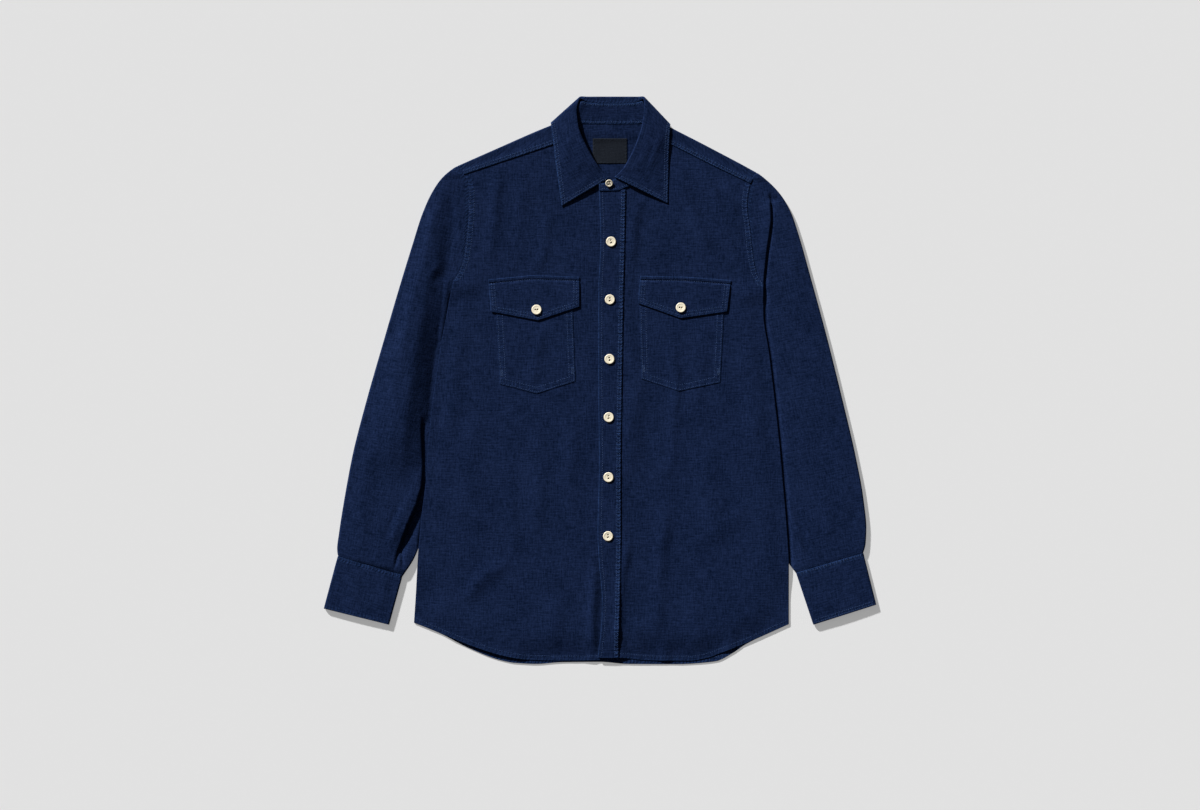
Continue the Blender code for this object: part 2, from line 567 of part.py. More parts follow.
def collar_frame():
    """All ribs at once: roll points, the way the leaf runs from each in plan, the way it faces, the
    way its lip runs (square to the roll line but along the leaf at the side folds), the radius of
    the roll, the length of the lip, and how much of a side fold the rib is, 0 to 1."""
    rib = spread_rows(COLLAR_RIBS, COLLAR_RIB_COUNT)
    facing = np.radians(rib["facing"])[:, None]
    level = np.zeros(COLLAR_RIB_COUNT)

    def unit(vectors):
        return vectors / np.linalg.norm(vectors, axis=1, keepdims=True)

    roll = np.stack([rib["roll_x"], rib["roll_y"], rib["roll_z"]], axis=-1)
    way = unit(np.stack([rib["edge_x"] - rib["roll_x"], rib["edge_y"] - rib["roll_y"], level], axis=-1))
    out_side = np.where(rib["roll_x"] < COLLAR_MIDDLE_X, 1, -1)[:, None]
    aside = np.stack([way[:, 1], -way[:, 0], level], axis=-1) * out_side
    face = aside * np.sin(facing) + np.array([0, 0, 1]) * np.cos(facing)
    on_roll = unit(np.stack([np.gradient(roll[:, 0]), np.gradient(roll[:, 1]), level], axis=-1))
    square = unit(way - on_roll * (way * on_roll).sum(axis=1, keepdims=True))
    lip_way = unit(mix(square, way, np.sin(facing)))
    turned = (1 - np.cos(facing)) / 2
    folded = np.sqrt(np.sin(facing))
    lip = mix(mix(LIP, BACK_LIP, turned), 0.3, folded)
    return rib, roll, way, face, lip_way, mix(1.8, 1.5, turned), lip, folded


def build_collar_leaf():
    """Leaf: from the band's upper edge over the roll and out to the collar's free edge.

    A rib's short lip lies level with the band, then the roll turns it over by a half circle on the
    side that the leaf faces, and the leaf runs straight on to its outer edge."""
    rib, roll, way, face, lip_way, radius, lip, _ = collar_frame()
    edge = np.stack([rib["edge_x"], rib["edge_y"], rib["edge_z"]], axis=-1)
    section = [roll + lip_way * (radius + lip), roll + lip_way * radius]
    for turn in np.radians((55, 90, 125, 180)):
        inward = lip_way if turn < np.pi / 2 else way
        section.append(roll + inward * radius * (1 - np.sin(turn)) + face * radius * (1 - np.cos(turn)))
    bend = section[-1]
    for share in (0.25, 0.5, 0.75, 1.0):
        loft = 0.8 * np.sin(np.pi * share) * np.maximum(face[:, 2:], 0)
        section.append(mix(bend, edge, share) + face * loft)
    points = np.stack(section, axis=1)
    return cloth_piece("collar_leaf", points, grid_faces(*points.shape[:2]))


def build_collar_band():
    """Band: the stand that carries the leaf, with its left end lapped over its right one. Its upper
    edge meets the leaf's lip, and stays a little lower where the collar folds at its sides."""
    rib, roll, _, face, lip_way, radius, lip, folded = collar_frame()
    neck = np.stack([rib["neck_x"], rib["neck_y"], rib["neck_z"]], axis=-1)
    down = neck - roll
    down = down / np.linalg.norm(down, axis=1, keepdims=True)
    top = roll + mix(lip_way, down, folded) * (radius + lip + mix(SEAM, 3.0, folded))
    top = top - face * 1.9 * folded
    ends = [[np.stack([end[name + axis] for axis in ("_x", "_y", "_z")], axis=-1)
             for name in ("neck", "top")] for end in (BAND_RIGHT_END, BAND_LEFT_END)]
    neck = np.concatenate([ends[0][0], neck, ends[1][0]])
    top = np.concatenate([ends[0][1], top, ends[1][1]])
    share = np.linspace(0, 1, 3)[None, :, None]
    points = mix(neck[:, None, :], top[:, None, :], share)
    return cloth_piece("collar_band", points, grid_faces(*points.shape[:2]))


# Pockets and flaps ---------------------------------------------------------------------------

def patch_points(upper, lower, rise, rows, columns):
    """Points of a patch between an upper and a lower line of corners, at `rise` over the front."""
    share = np.linspace(0, 1, columns)

    def line(corners):
        corners = np.array(corners, float)
        knots = np.linspace(0, 1, len(corners))
        return np.stack([np.interp(share, knots, corners[:, k]) for k in (0, 1)], axis=-1)

    down = np.linspace(0, 1, rows)[:, None, None]
    plan = mix(line(upper)[None], line(lower)[None], down)
    x, y = plan[..., 0], plan[..., 1]
    height = outer_front_height(x, y) + rise(down[..., 0], share[None, :])
    return np.stack([x, y, height], axis=-1)


def build_pocket(side):
    points = patch_points(POCKETS[side]["mouth"], POCKETS[side]["foot"],
                          lambda down, share: STACK + 0 * share * down, 8, 7)
    return cloth_piece("pocket_" + side, points, grid_faces(*points.shape[:2]))


def build_flap(side):
    """Flap: sewn down along its top, over the pocket's mouth, and a little proud at its free edge."""
    points = patch_points(FLAPS[side]["sewn"], FLAPS[side]["free"],
                          lambda down, share: STACK * (1 + ramp(down, 0.0, 0.2)) + 0.5 * down, 6, 7)
    return cloth_piece("flap_" + side, points, grid_faces(*points.shape[:2]))


# Buttons and label ---------------------------------------------------------------------------

def button_mesh():
    """A turned button: a dished face inside a rounded rim, and a flat back."""
    rim, height = BUTTON_DIAMETER / 2, BUTTON_HEIGHT
    profile = [(0, height * 0.62), (rim * 0.5, height * 0.66), (rim * 0.68, height * 0.96),
               (rim * 0.86, height), (rim, height * 0.6), (rim * 0.8, 0), (0, 0)]
    mesh = bpy.data.meshes.new("button")
    mesh.from_pydata([(x * MM, 0, z * MM) for x, z in profile], [],
                     [])
    mesh.edges.add(len(profile) - 1)
    for i, edge in enumerate(mesh.edges):
        edge.vertices = (i, i + 1)
    mesh.update()
    mesh.materials.append(MATERIALS["shell_white"])
    return mesh


def place_button(name, mesh, x, y, under):
    """A button with its back just clear of the cloth under it."""
    button = bpy.data.objects.new(name, mesh)
    SHIRT.objects.link(button)
    button.location = (x * MM, y * MM, (under + HALF + 0.35) * MM)
    screw = button.modifiers.new("turned", "SCREW")
    screw.steps = screw.render_steps = BUTTON_SIDES
    screw.use_merge_vertices = True
    screw.merge_threshold = 0.00001
    screw.use_smooth_shade = True
    return button


def build_buttons():
    mesh = button_mesh()
    for n, (x, y) in enumerate(zip(*FRONT_BUTTONS.values()), start=1):
        place_button(f"button_front_{n}", mesh, x, y, outer_front_height(x, y) + STACK + 0.1)
    x, y = COLLAR_BUTTON
    place_button("button_collar", mesh, x, y, 8.2)
    for side, (x, y) in FLAP_BUTTONS.items():
        place_button("button_flap_" + side, mesh, x, y, outer_front_height(x, y) + 2 * STACK + 0.6)


def build_label():
    """A plain woven label, sewn inside the back of the neck."""
    x, y = np.meshgrid(np.linspace(LABEL["left"], LABEL["right"], 4),
                       np.linspace(LABEL["top"], LABEL["bottom"], 6))
    label = cloth_piece("label", np.stack([x, y, back_height(x, y) + STACK], axis=-1),
                        grid_faces(*x.shape), LABEL["wall"])
    label.data.materials[0] = MATERIALS["label_ink"]
    return label


for old in list(bpy.data.objects):
    bpy.data.objects.remove(old)

SHIRT = bpy.data.collections.new("work_shirt")
bpy.context.scene.collection.children.link(SHIRT)
MATERIALS = {
    "indigo": material("indigo", INDIGO, 0.85),
    "shell_white": material("shell_white", SHELL_WHITE, 0.35),
    "label_ink": material("label_ink", LABEL_INK, 0.7),
}

build_back()
build_yoke()
build_placket()
build_collar_band()
build_collar_leaf()
build_label()
build_buttons()
for wearer_side in ("right", "left"):
    build_front(wearer_side)
    build_sleeve(wearer_side)
    build_cuff(wearer_side)
    build_pocket(wearer_side)
    build_flap(wearer_side)
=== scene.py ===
"""A long-sleeved work shirt in indigo cloth, buttoned and laid flat on its back, dressed for its picture.

The sections follow the shirt as it is put together. Tables and sizes are in millimetres and each mesh
is scaled to metres as it is made. X runs to the wearer's left, Y to the collar and Z up from the
surface. "right" and "left" are the wearer's, so right is -X.
"""
import bpy
import numpy as np
from mathutils import Matrix


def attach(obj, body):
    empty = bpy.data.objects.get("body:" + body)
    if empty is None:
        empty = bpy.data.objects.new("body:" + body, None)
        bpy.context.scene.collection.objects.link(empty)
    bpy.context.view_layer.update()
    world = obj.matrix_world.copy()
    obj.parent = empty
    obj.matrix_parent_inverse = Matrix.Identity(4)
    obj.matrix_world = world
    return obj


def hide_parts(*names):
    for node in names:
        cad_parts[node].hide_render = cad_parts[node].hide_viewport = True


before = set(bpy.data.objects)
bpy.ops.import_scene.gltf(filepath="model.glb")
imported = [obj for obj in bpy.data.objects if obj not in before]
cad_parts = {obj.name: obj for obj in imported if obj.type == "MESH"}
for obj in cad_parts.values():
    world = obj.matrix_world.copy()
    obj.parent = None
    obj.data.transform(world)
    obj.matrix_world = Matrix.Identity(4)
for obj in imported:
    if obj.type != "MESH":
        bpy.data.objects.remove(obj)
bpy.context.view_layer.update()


# Back ------------------------------------------------------------------------------------------
# The back is one panel of indigo cloth from the yoke seam to the shirt tail. It lies flat on the
# surface, lifted at its sides by the sleeves tucked in under them. Its top is lapped inside the
# yoke, and its tail is turned up into a narrow hem and stitched.

MM = 0.001
WALL = 0.7                  # one layer of the washed cloth
FLOOR_GAP = 0.05            # the lowest layer above the surface
LAP = 4.0                   # how far a panel runs on under the next one at a seam
PIT_Y = {"right": 141.0, "left": 134.0}
SHY = 0.2                   # the body's panels stop this far inside its outline
TUCK_LIFT = 2.1             # how far the sleeves under them lift the body's sides
HEM_THREAD = 0.42           # the hems are sewn with a finer thread


def table(columns, *rows):
    """A short table as named columns, {name: array}."""
    return dict(zip(columns.split(), np.array(rows, float).T))


# Outline of the body: armhole seam down to the armpit, then the side down to the hem.
EDGE = {
    "right": table("y x",
                   (-344, -264), (-298, -261), (-246, -258), (-192, -253), (-142, -247),
                   (-85, -243), (-28, -237), (28, -229), (85, -219), (141, -207),
                   (156, -199), (175, -193), (205, -189), (241, -186), (278, -186),
                   (290, -192), (304, -203)),
    "left": table("y x",
                  (-346, 268), (-266, 268), (-210, 265), (-150, 260), (-104, 256),
                  (-55, 251), (-3, 245), (38, 240), (94, 232), (134, 231.5),
                  (151, 223), (180, 217), (217, 213), (246, 209), (278, 213),
                  (286, 217), (294.5, 223)),
}
YOKE_BACK = table("x y", (-203, 264), (16.5, 273), (223, 264))
BACK_HEM = table("x y", (-264, -344), (-227, -359), (-185, -380.5), (-142, -397), (-121, -401),
                 (-90, -402.5), (-55, -400), (0, -399.5), (40, -402.5), (109, -402.8),
                 (163, -399), (190, -386), (206, -375), (268, -346))
# Creases: a line down the cloth, the width of the bell to its left and right, and its height.
BACK_CREASES = [(((-150, 214), (-168, 60), (-176, -90)), 15, 12, 0.5),
                (((128, 236), (146, 100), (152, -30)), 17, 13, 0.45),
                (((24, 230), (12, 40), (6, -180)), 12, 12, 0.4),
                (((-58, -60), (-66, -200), (-84, -372)), 16, 12, 0.55),
                (((96, -150), (112, -260), (118, -380)), 13, 13, 0.5),
                (((-120, -190), (-212, -262)), 14, 18, 0.4),
                (((196, 60), (120, -20)), 20, 14, 0.35)]


def smooth_line(at, knots, values):
    """A curve through the knots that doesn't overshoot them: cubic between each two, with harmonic
    mean slopes. Beyond the ends it holds the end value."""
    step = np.diff(knots)
    slope = np.diff(values) / step
    both = slope[1:] * slope[:-1]
    total = np.where(both > 0, slope[1:] + slope[:-1], 1.0)
    tangent = np.concatenate([slope[:1], np.where(both > 0, 2 * both / total, 0.0), slope[-1:]])
    i = np.clip(np.searchsorted(knots, at, side="right") - 1, 0, len(step) - 1)
    t = np.clip((at - knots[i]) / step[i], 0, 1)
    start, end = values[i], values[i + 1]
    return (start * (1 + 2 * t) * (1 - t) ** 2 + end * t * t * (3 - 2 * t)
            + step[i] * (tangent[i] * t * (1 - t) ** 2 - tangent[i + 1] * t * t * (1 - t)))


def along(columns, by, name, at):
    """Column `name` of a table, read smoothly where column `by` is `at`."""
    return smooth_line(np.asarray(at, float), columns[by], columns[name])


def ramp(value, low, high):
    """0 below low, 1 above high, and a smooth step between."""
    t = np.clip((value - low) / (high - low), 0, 1)
    return t * t * (3 - 2 * t)


def mix(a, b, t):
    """What lies `t` of the way from a to b."""
    return a + (b - a) * t


def unit(vectors):
    """The vectors at length 1."""
    return vectors / (np.linalg.norm(vectors, axis=-1, keepdims=True) + 1e-12)


def as_points(*columns):
    """Arrays of one shape as the columns of points, or of the corners of faces."""
    return np.stack(columns, axis=-1)


def length_along(points, axis=0):
    """For each point of a grid, how long the way to it is from the first one along an axis."""
    step = np.linalg.norm(np.diff(points, axis=axis), axis=-1)
    return np.concatenate([np.zeros_like(step.take([0], axis=axis)), step.cumsum(axis=axis)], axis=axis)


def near_line(x, y, line):
    """For each (x, y), the distance to a line of points, how far along the line the nearest place
    is, and the side: 1 to the right of a line that runs down the page, -1 to its left."""
    line = np.asarray(line, float)
    start, way = line[:-1], np.diff(line, axis=0)
    length = np.maximum(np.hypot(*way.T), 1e-9)
    before = np.cumsum(length) - length
    px, py = x.ravel()[:, None] - start[:, 0], y.ravel()[:, None] - start[:, 1]
    t = np.clip((px * way[:, 0] + py * way[:, 1]) / length ** 2, 0, 1)
    gap = np.hypot(px - t * way[:, 0], py - t * way[:, 1])
    row, best = np.arange(len(gap)), gap.argmin(axis=1)
    side = np.sign(way[best, 0] * py[row, best] - way[best, 1] * px[row, best])
    found = gap[row, best], before[best] + t[row, best] * length[best], side
    return [values.reshape(x.shape) for values in found]


def creases(lines, x, y):
    """Sum of the creases at (x, y): a bell across each line, wider on one side than the other, that
    swells and wanders a little along its way and fades out at both ends."""
    total = np.zeros(x.shape)
    for n, (line, left, right, height) in enumerate(lines):
        gap, way, side = near_line(x, y, line)
        length = np.hypot(*np.diff(line, axis=0).T).sum()
        wander = np.sin(way / 17 + n) + 0.5 * np.sin(way / 7.3 + 2 * n)
        off = gap * side + 0.18 * min(left, right) * wander
        bell = np.exp(-(off / np.where(off > 0, right, left)) ** 2)
        run_out = min(0.3 * length, 24 + 2.5 * min(left, right))
        fade = ramp(way, 0, run_out) * (1 - ramp(way, length - run_out, length))
        total += height * (0.85 + 0.2 * np.sin(way / 29 + 3 * n)) * fade * bell
    return total


def swell(x, y):
    """The slight unevenness of cloth that lies loose, -1 to 1: a few long waves that cross."""
    return (np.sin(x / 23 + 0.9 * np.sin(y / 61)) * np.sin(y / 37 + 0.4)
            + 0.7 * np.sin(x / 13.1 - y / 29 + 2) + 0.5 * np.sin(x / 41 + y / 17 + 1)) / 2.2


def edge_x(side, y):
    """The body's edge on that side."""
    return along(EDGE[side], "y", "x", y)


def inset(side, x, y):
    """How far (x, y) lies inside that side's edge of the body."""
    return x - edge_x(side, y) if side == "right" else edge_x(side, y) - x


def side_lift(side, x, y):
    """The body's side, 0 to 1, where a sleeve lies under it: from below the armpit to the cuff."""
    lengthwise = ramp(-y, -PIT_Y[side] - 16, -PIT_Y[side] + 18) * (1 - ramp(-y, 262, 312))
    return lengthwise * (1 - ramp(inset(side, x, y), 17, 48))


def collar_lift(x, y):
    """The yoke, 0 to 1, where the back of the collar leaf lies under it."""
    return ramp(y, 334, 352) * ramp(x, -92, -72) * (1 - ramp(x, 103, 122))


def back_height(x, y):
    """Mid-surface of the back and of the yoke's back half."""
    lift = side_lift("right", x, y) + side_lift("left", x, y)
    return FLOOR_GAP + WALL / 2 + TUCK_LIFT * lift + 1.5 * collar_lift(x, y)


def spaced(length, step, fine=12.0, fine_step=1.3):
    """Places 0 to 1 over a length, `step` apart, and closer near both ends for the seams there."""
    near = np.concatenate([[0, 0.5], np.arange(fine_step, fine, fine_step)])
    middle = np.linspace(fine, length - fine, int((length - 2 * fine) / step) + 2)
    return np.concatenate([near, middle, length - near[::-1]]) / length


def panel_points(side_right, side_left, top, bottom, across, down):
    """Plan points of a panel bounded by x = side(y) and y = top(x), y = bottom(x). A column's ends
    are found by walking to where it meets the top and bottom curves."""
    def x_of(share, y):
        return mix(side_right(y), side_left(y), share)

    upper, lower = np.full(len(across), 300.0), np.full(len(across), -350.0)
    for _ in range(40):
        upper = mix(upper, top(x_of(across, upper)), 0.5)
        lower = mix(lower, bottom(x_of(across, lower)), 0.5)
    y = mix(upper[None, :], lower[None, :], down[:, None])
    return x_of(across[None, :], y), y


def grid_faces(rows, columns):
    """Quads of a grid of points, row by row."""
    i, j = np.meshgrid(np.arange(rows - 1), np.arange(columns - 1), indexing="ij")
    quads = [i * columns + j, (i + 1) * columns + j, (i + 1) * columns + j + 1, i * columns + j + 1]
    return np.stack(quads, axis=-1).reshape(-1, 4)


def facing_edge(grid, edge):
    """A view of a grid whose first row is the named border: top, foot, start or end column."""
    turned = grid if edge in ("top", "foot") else grid.swapaxes(0, 1)
    return turned[::-1] if edge in ("foot", "end") else turned


def rim_wear(points, edges):
    """Wear of folded edges: 1 on the named borders of a grid, falling off within a millimetre."""
    far = np.full(points.shape[:2], 99.0)
    for edge in edges:
        from_edge = facing_edge(far, edge)
        from_edge[:] = np.minimum(from_edge, length_along(facing_edge(points, edge)[..., :3]))
    return np.exp(-(far / 1.1) ** 2)


NO_SEAM = (0.0, 9.0, 0.0)    # a place far from any seam


def seam_field(x, y, *seams):
    """Where each point lies in the band of its nearest seam: how far along it, how far from its
    middle in half widths, and how strong it is. A seam is the line of the piece's edge, how far in
    from it the band's middle is, the band's half width, and its strength."""
    found = np.tile(NO_SEAM, x.shape + (1,))
    for line, inside, half, strength in seams:
        gap, way, _ = near_line(x, y, line)
        off = np.abs(gap - inside) / half
        near = off < found[..., 1]
        found[near] = as_points(way, off, np.full(way.shape, strength))[near]
    return found


def seam_relief(seam, height=0.25, pucker=0.25):
    """Height of a seam over the cloth: the turned-in allowance as a low flat band, and puckers of
    uneven length across it that run out a little way past its edges."""
    way, off, strength = seam[..., 0], seam[..., 1], seam[..., 2]
    slant = way + 1.3 * off
    wave = np.sin(slant / 1.15) + 0.8 * np.sin(slant / 1.9 + 1.3) + 0.6 * np.sin(way / 3.4 + 0.4)
    pucker_here = pucker * wave / 2.4 * (1 - ramp(off, 0.5, 2.0))
    return strength * (height * (1 - ramp(off, 0.8, 1.3)) + pucker_here)


def set_uv(mesh, name, places):
    """A UV map with a place for each vertex."""
    corners = np.zeros(len(mesh.loops), np.int32)
    mesh.loops.foreach_get("vertex_index", corners)
    mesh.uv_layers.new(name=name).data.foreach_set("uv", places[corners].ravel())


def sewn_mesh(name, points, faces, place, wall, seam, rim):
    """Cloth with a wall: a mid-surface in millimetres moved out and in along its normals by half the
    wall, and joined by a rounded rim round its free edges. `place` is each point's place in the flat
    cloth, `seam` its place in a seam's band, and `rim` the wear of its folded edges."""
    points, place, seam = points.reshape(-1, 3), place.reshape(-1, 2), seam.reshape(-1, 3)
    count = len(points)
    rim = np.broadcast_to(rim, points.shape[:1]) if np.ndim(rim) == 0 else rim.ravel()
    first, second, third, fourth = points[faces].swapaxes(0, 1)
    face_normal = np.cross(third - first, fourth - second)
    normal = np.zeros_like(points)
    for k in range(4):
        np.add.at(normal, faces[:, k], face_normal)
    normal = unit(normal)
    start, end = faces.ravel(), np.roll(faces, -1, axis=1).ravel()
    pair = np.minimum(start, end) * count + np.maximum(start, end)
    _, where, times = np.unique(pair, return_index=True, return_counts=True)
    a, b = start[where[times == 1]], end[where[times == 1]]
    outward = np.zeros_like(points)
    for corner in (a, b):
        np.add.at(outward, corner, np.cross(points[b] - points[a], normal[a] + normal[b]))
    free = np.unique(np.concatenate([a, b]))
    outward = unit(outward[free])
    number = np.zeros(count, int)
    number[free] = 2 * count + np.arange(len(free))
    vertices = np.concatenate([points + normal * wall / 2, points - normal * wall / 2,
                               points[free] + outward * wall * 0.35])
    quads = np.concatenate([faces, faces[:, ::-1] + count,
                            as_points(a, number[a], number[b], b),
                            as_points(number[a], a + count, b + count, number[b])])
    mesh = bpy.data.meshes.new(name)
    mesh.vertices.add(len(vertices))
    mesh.vertices.foreach_set("co", (vertices * MM).ravel())
    mesh.loops.add(quads.size)
    mesh.loops.foreach_set("vertex_index", quads.ravel())
    mesh.polygons.add(len(quads))
    mesh.polygons.foreach_set("loop_start", np.arange(len(quads)) * 4)
    mesh.update(calc_edges=True)
    mesh.shade_smooth()
    each = np.concatenate([np.arange(count), np.arange(count), free])
    set_uv(mesh, "cloth", place[each] * MM)
    mesh.attributes.new("seam", "FLOAT_VECTOR", "POINT").data.foreach_set("vector", seam[each].ravel())
    mesh.attributes.new("rim", "FLOAT", "POINT").data.foreach_set("value", rim[each])
    return mesh


def node(tree, kind, *given, **settings):
    """A node of the tree with its settings, and its inputs in order: a socket is linked, a value is
    set, and None is left as it is."""
    made = tree.nodes.new("ShaderNode" + kind)
    for key, value in settings.items():
        setattr(made, key, value)
    for socket, value in zip(made.inputs, given):
        if isinstance(value, bpy.types.NodeSocket):
            tree.links.new(value, socket)
        elif value is not None:
            socket.default_value = value
    return made


def set_values(made, values):
    """Sets a node's inputs by name."""
    for socket, value in values.items():
        made.inputs[socket].default_value = value


def new_group(name, inputs, outputs):
    """A shader node group with sockets given as "name:Kind"."""
    group = bpy.data.node_groups.new(name, "ShaderNodeTree")
    for way, sockets in (("INPUT", inputs), ("OUTPUT", outputs)):
        for socket in sockets.split(", "):
            label, kind = socket.split(":")
            group.interface.new_socket(label, in_out=way, socket_type="NodeSocket" + kind)
    return group, group.nodes.new("NodeGroupInput"), group.nodes.new("NodeGroupOutput")


def noise(tree, place, stretch, detail=2.0, roughness=0.55):
    """Noise over `place`: its grains are 1 / stretch metres across in each direction."""
    scaled = node(tree, "VectorMath", place, stretch, operation="MULTIPLY").outputs[0]
    made = node(tree, "TexNoise", scaled)
    set_values(made, {"Scale": 1.0, "Detail": detail, "Roughness": roughness})
    return made.outputs["Fac"]


def colour_mix(tree, share, low, high):
    """The colour that is `share` of the way from low to high, each a colour or a socket."""
    made = node(tree, "Mix", share, data_type="RGBA")
    for socket, value in zip([s for s in made.inputs if s.type == "RGBA"], (low, high)):
        if isinstance(value, bpy.types.NodeSocket):
            tree.links.new(value, socket)
        else:
            socket.default_value = (*value, 1)
    return [s for s in made.outputs if s.type == "RGBA"][0]


def math(tree, operation, *given, clamp=False):
    return node(tree, "Math", *given, operation=operation, use_clamp=clamp).outputs[0]


def weave_group():
    """Plain weave of slubby yarn. Height is the product of two sine waves, warp over weft, and Shade
    adds long thin flecks along the warp and the weft, a fine grain, and broad soft clouding."""
    tree, given, out = new_group("slubby_weave", "Place:Vector, Threads:Float, Slub:Float",
                                 "Shade:Float, Height:Float")
    place = given.outputs["Place"]
    warp = noise(tree, place, (560, 60, 1), 2.0, 0.6)
    weft = noise(tree, place, (60, 520, 2), 2.0, 0.6)
    grain = noise(tree, place, (340, 340, 5), 1.0, 0.6)
    cloud = noise(tree, place, (26, 20, 9), 2.0, 0.5)
    flecks = math(tree, "MULTIPLY_ADD", math(tree, "ADD", warp, weft), given.outputs["Slub"],
                  math(tree, "MULTIPLY", given.outputs["Slub"], -1.0))
    shade = math(tree, "ADD", flecks, math(tree, "MULTIPLY_ADD", grain, 1.1, -0.3))
    shade = math(tree, "ADD", shade, math(tree, "MULTIPLY_ADD", cloud, 0.6, -0.05), clamp=True)
    turn = node(tree, "VectorMath", place, None, None, given.outputs["Threads"], operation="SCALE")
    split = node(tree, "SeparateXYZ", turn.outputs[0])
    over, under = (math(tree, "SINE", split.outputs[k]) for k in (0, 1))
    threads = math(tree, "MULTIPLY", over, under)
    tree.links.new(shade, out.inputs["Shade"])
    tree.links.new(math(tree, "MULTIPLY_ADD", threads, 0.2, shade), out.inputs["Height"])
    return tree


def wear_group():
    """Wear of washed seams and folded edges. Along a seam's band the cloth ropes into slanting
    ridges, a sine of the way along plus the way across, broken up by noise, and the dye is worn off
    their tops. A folded edge is worn along its rim."""
    tree, given, out = new_group("washed_seams", "Seam:Vector, Rim:Float, Shade:Float, Pitch:Float",
                                 "Wear:Float, Height:Float")
    way, off, strength = node(tree, "SeparateXYZ", given.outputs["Seam"]).outputs
    near = node(tree, "MapRange", off, 0.7, 1.5, 1.0, 0.0, interpolation_type="SMOOTHSTEP")
    band = math(tree, "MULTIPLY", near.outputs[0], strength)
    loose = noise(tree, given.outputs["Seam"], (0.16, 0.5, 0), 2.0, 0.6)
    slant = math(tree, "MULTIPLY_ADD", loose, 7.0, math(tree, "MULTIPLY_ADD", off, 1.4, way))
    rope = math(tree, "SINE", math(tree, "MULTIPLY", slant, given.outputs["Pitch"]))
    crest = node(tree, "MapRange", rope, -0.3, 1.0, 0.0, 0.32, interpolation_type="SMOOTHSTEP").outputs[0]
    most = math(tree, "MAXIMUM", math(tree, "MULTIPLY", band, crest), given.outputs["Rim"])
    bright = node(tree, "MapRange", given.outputs["Shade"], 0.2, 0.8, 0.45, 1.15).outputs[0]
    tree.links.new(math(tree, "MULTIPLY", most, bright, clamp=True), out.inputs["Wear"])
    tree.links.new(math(tree, "MULTIPLY", rope, band), out.inputs["Height"])
    return tree


WEAVE, SEAM_WEAR = weave_group(), wear_group()
THREAD_PITCH = 0.0011       # two threads of the weave, in metres
ROPING_PITCH = 5.0          # from one pucker of a washed seam to the next


def new_material(name):
    """A material, with its node tree and its shader."""
    made = bpy.data.materials.new(name)
    made.use_nodes = True
    return made, made.node_tree, made.node_tree.nodes["Principled BSDF"]


def add_bump(tree, shader, height, distance):
    """Bump from a height socket, `distance` metres for a height of 1."""
    bump = node(tree, "Bump")
    bump.inputs["Distance"].default_value = distance
    tree.links.new(height, bump.inputs["Height"])
    tree.links.new(bump.outputs["Normal"], shader.inputs["Normal"])


def cloth_material(name, deep, bright, faded, slub=1.5, roughness=0.88):
    """Indigo cloth: deep dye in the hollows of the weave, brighter on its slubs, and faded where the
    washed seams and edges stand up."""
    made, tree, shader = new_material(name)
    place = node(tree, "UVMap", uv_map="cloth").outputs["UV"]
    weave = node(tree, "Group", place, 2 * np.pi / THREAD_PITCH, slub, node_tree=WEAVE)
    seam = node(tree, "Attribute", attribute_name="seam").outputs["Vector"]
    rim = node(tree, "Attribute", attribute_name="rim").outputs["Fac"]
    wear = node(tree, "Group", seam, rim, weave.outputs["Shade"], 2 * np.pi / ROPING_PITCH,
                node_tree=SEAM_WEAR)
    dyed = colour_mix(tree, weave.outputs["Shade"], deep, bright)
    tree.links.new(colour_mix(tree, wear.outputs["Wear"], dyed, faded), shader.inputs["Base Color"])
    high = math(tree, "MULTIPLY_ADD", wear.outputs["Height"], 0.22,
                math(tree, "MULTIPLY", weave.outputs["Height"], 0.14))
    add_bump(tree, shader, high, MM)
    rough = node(tree, "MapRange", weave.outputs["Shade"], 0.0, 1.0, roughness + 0.06, roughness - 0.06)
    tree.links.new(rough.outputs[0], shader.inputs["Roughness"])
    set_values(shader, {"Specular IOR Level": 0.04, "Sheen Weight": 0.03, "Sheen Roughness": 0.5,
                        "Sheen Tint": (0.25, 0.42, 0.9, 1)})
    return made


INDIGO = cloth_material("indigo_cloth", (0.0014, 0.0056, 0.0225), (0.0098, 0.0205, 0.0655),
                        (0.026, 0.068, 0.190))


def add_piece(name, mesh, material):
    """A finished piece at the origin that rides with the shirt."""
    piece = bpy.data.objects.new(name, mesh)
    bpy.context.scene.collection.objects.link(piece)
    mesh.materials.append(material)
    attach(piece, "root")
    return piece


def dress(name, points, cad_node, flat, area, seam, rim=0.0, rests_on=(), wall=WALL, faces=None,
          place=None, material=INDIGO, slot="indigo"):
    """A cloth piece that stands for its CAD node and hides it. The size of its cut in metres is not
    used. One that isn't a whole grid gives its faces, and one that isn't flat its place in the flat cloth."""
    faces = grid_faces(*points.shape[:2]) if faces is None else faces
    place = points[..., :2] if place is None else place
    piece = add_piece(name, sewn_mesh(name, points, faces, place, wall, seam, rim), material)
    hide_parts(cad_node)


def with_normals(points):
    """A grid of points with the unit normal of the surface at each, as six columns."""
    normal = np.cross(np.gradient(points, axis=0), np.gradient(points, axis=1))
    return np.concatenate([points, unit(normal)], axis=-1)


def beside(grid, edge, gap):
    """The line `gap` millimetres in from one border of a grid, with the normals on it: on each
    crossing line of the grid, the place where the way from the border reaches that length."""
    turned = facing_edge(grid, edge)
    far = length_along(turned[..., :3])
    k = np.clip((far <= gap).sum(axis=0) - 1, 0, len(far) - 2)
    j = np.arange(far.shape[1])
    share = (gap - far[k, j]) / (far[k + 1, j] - far[k, j])
    return mix(turned[k, j], turned[k + 1, j], share[:, None])


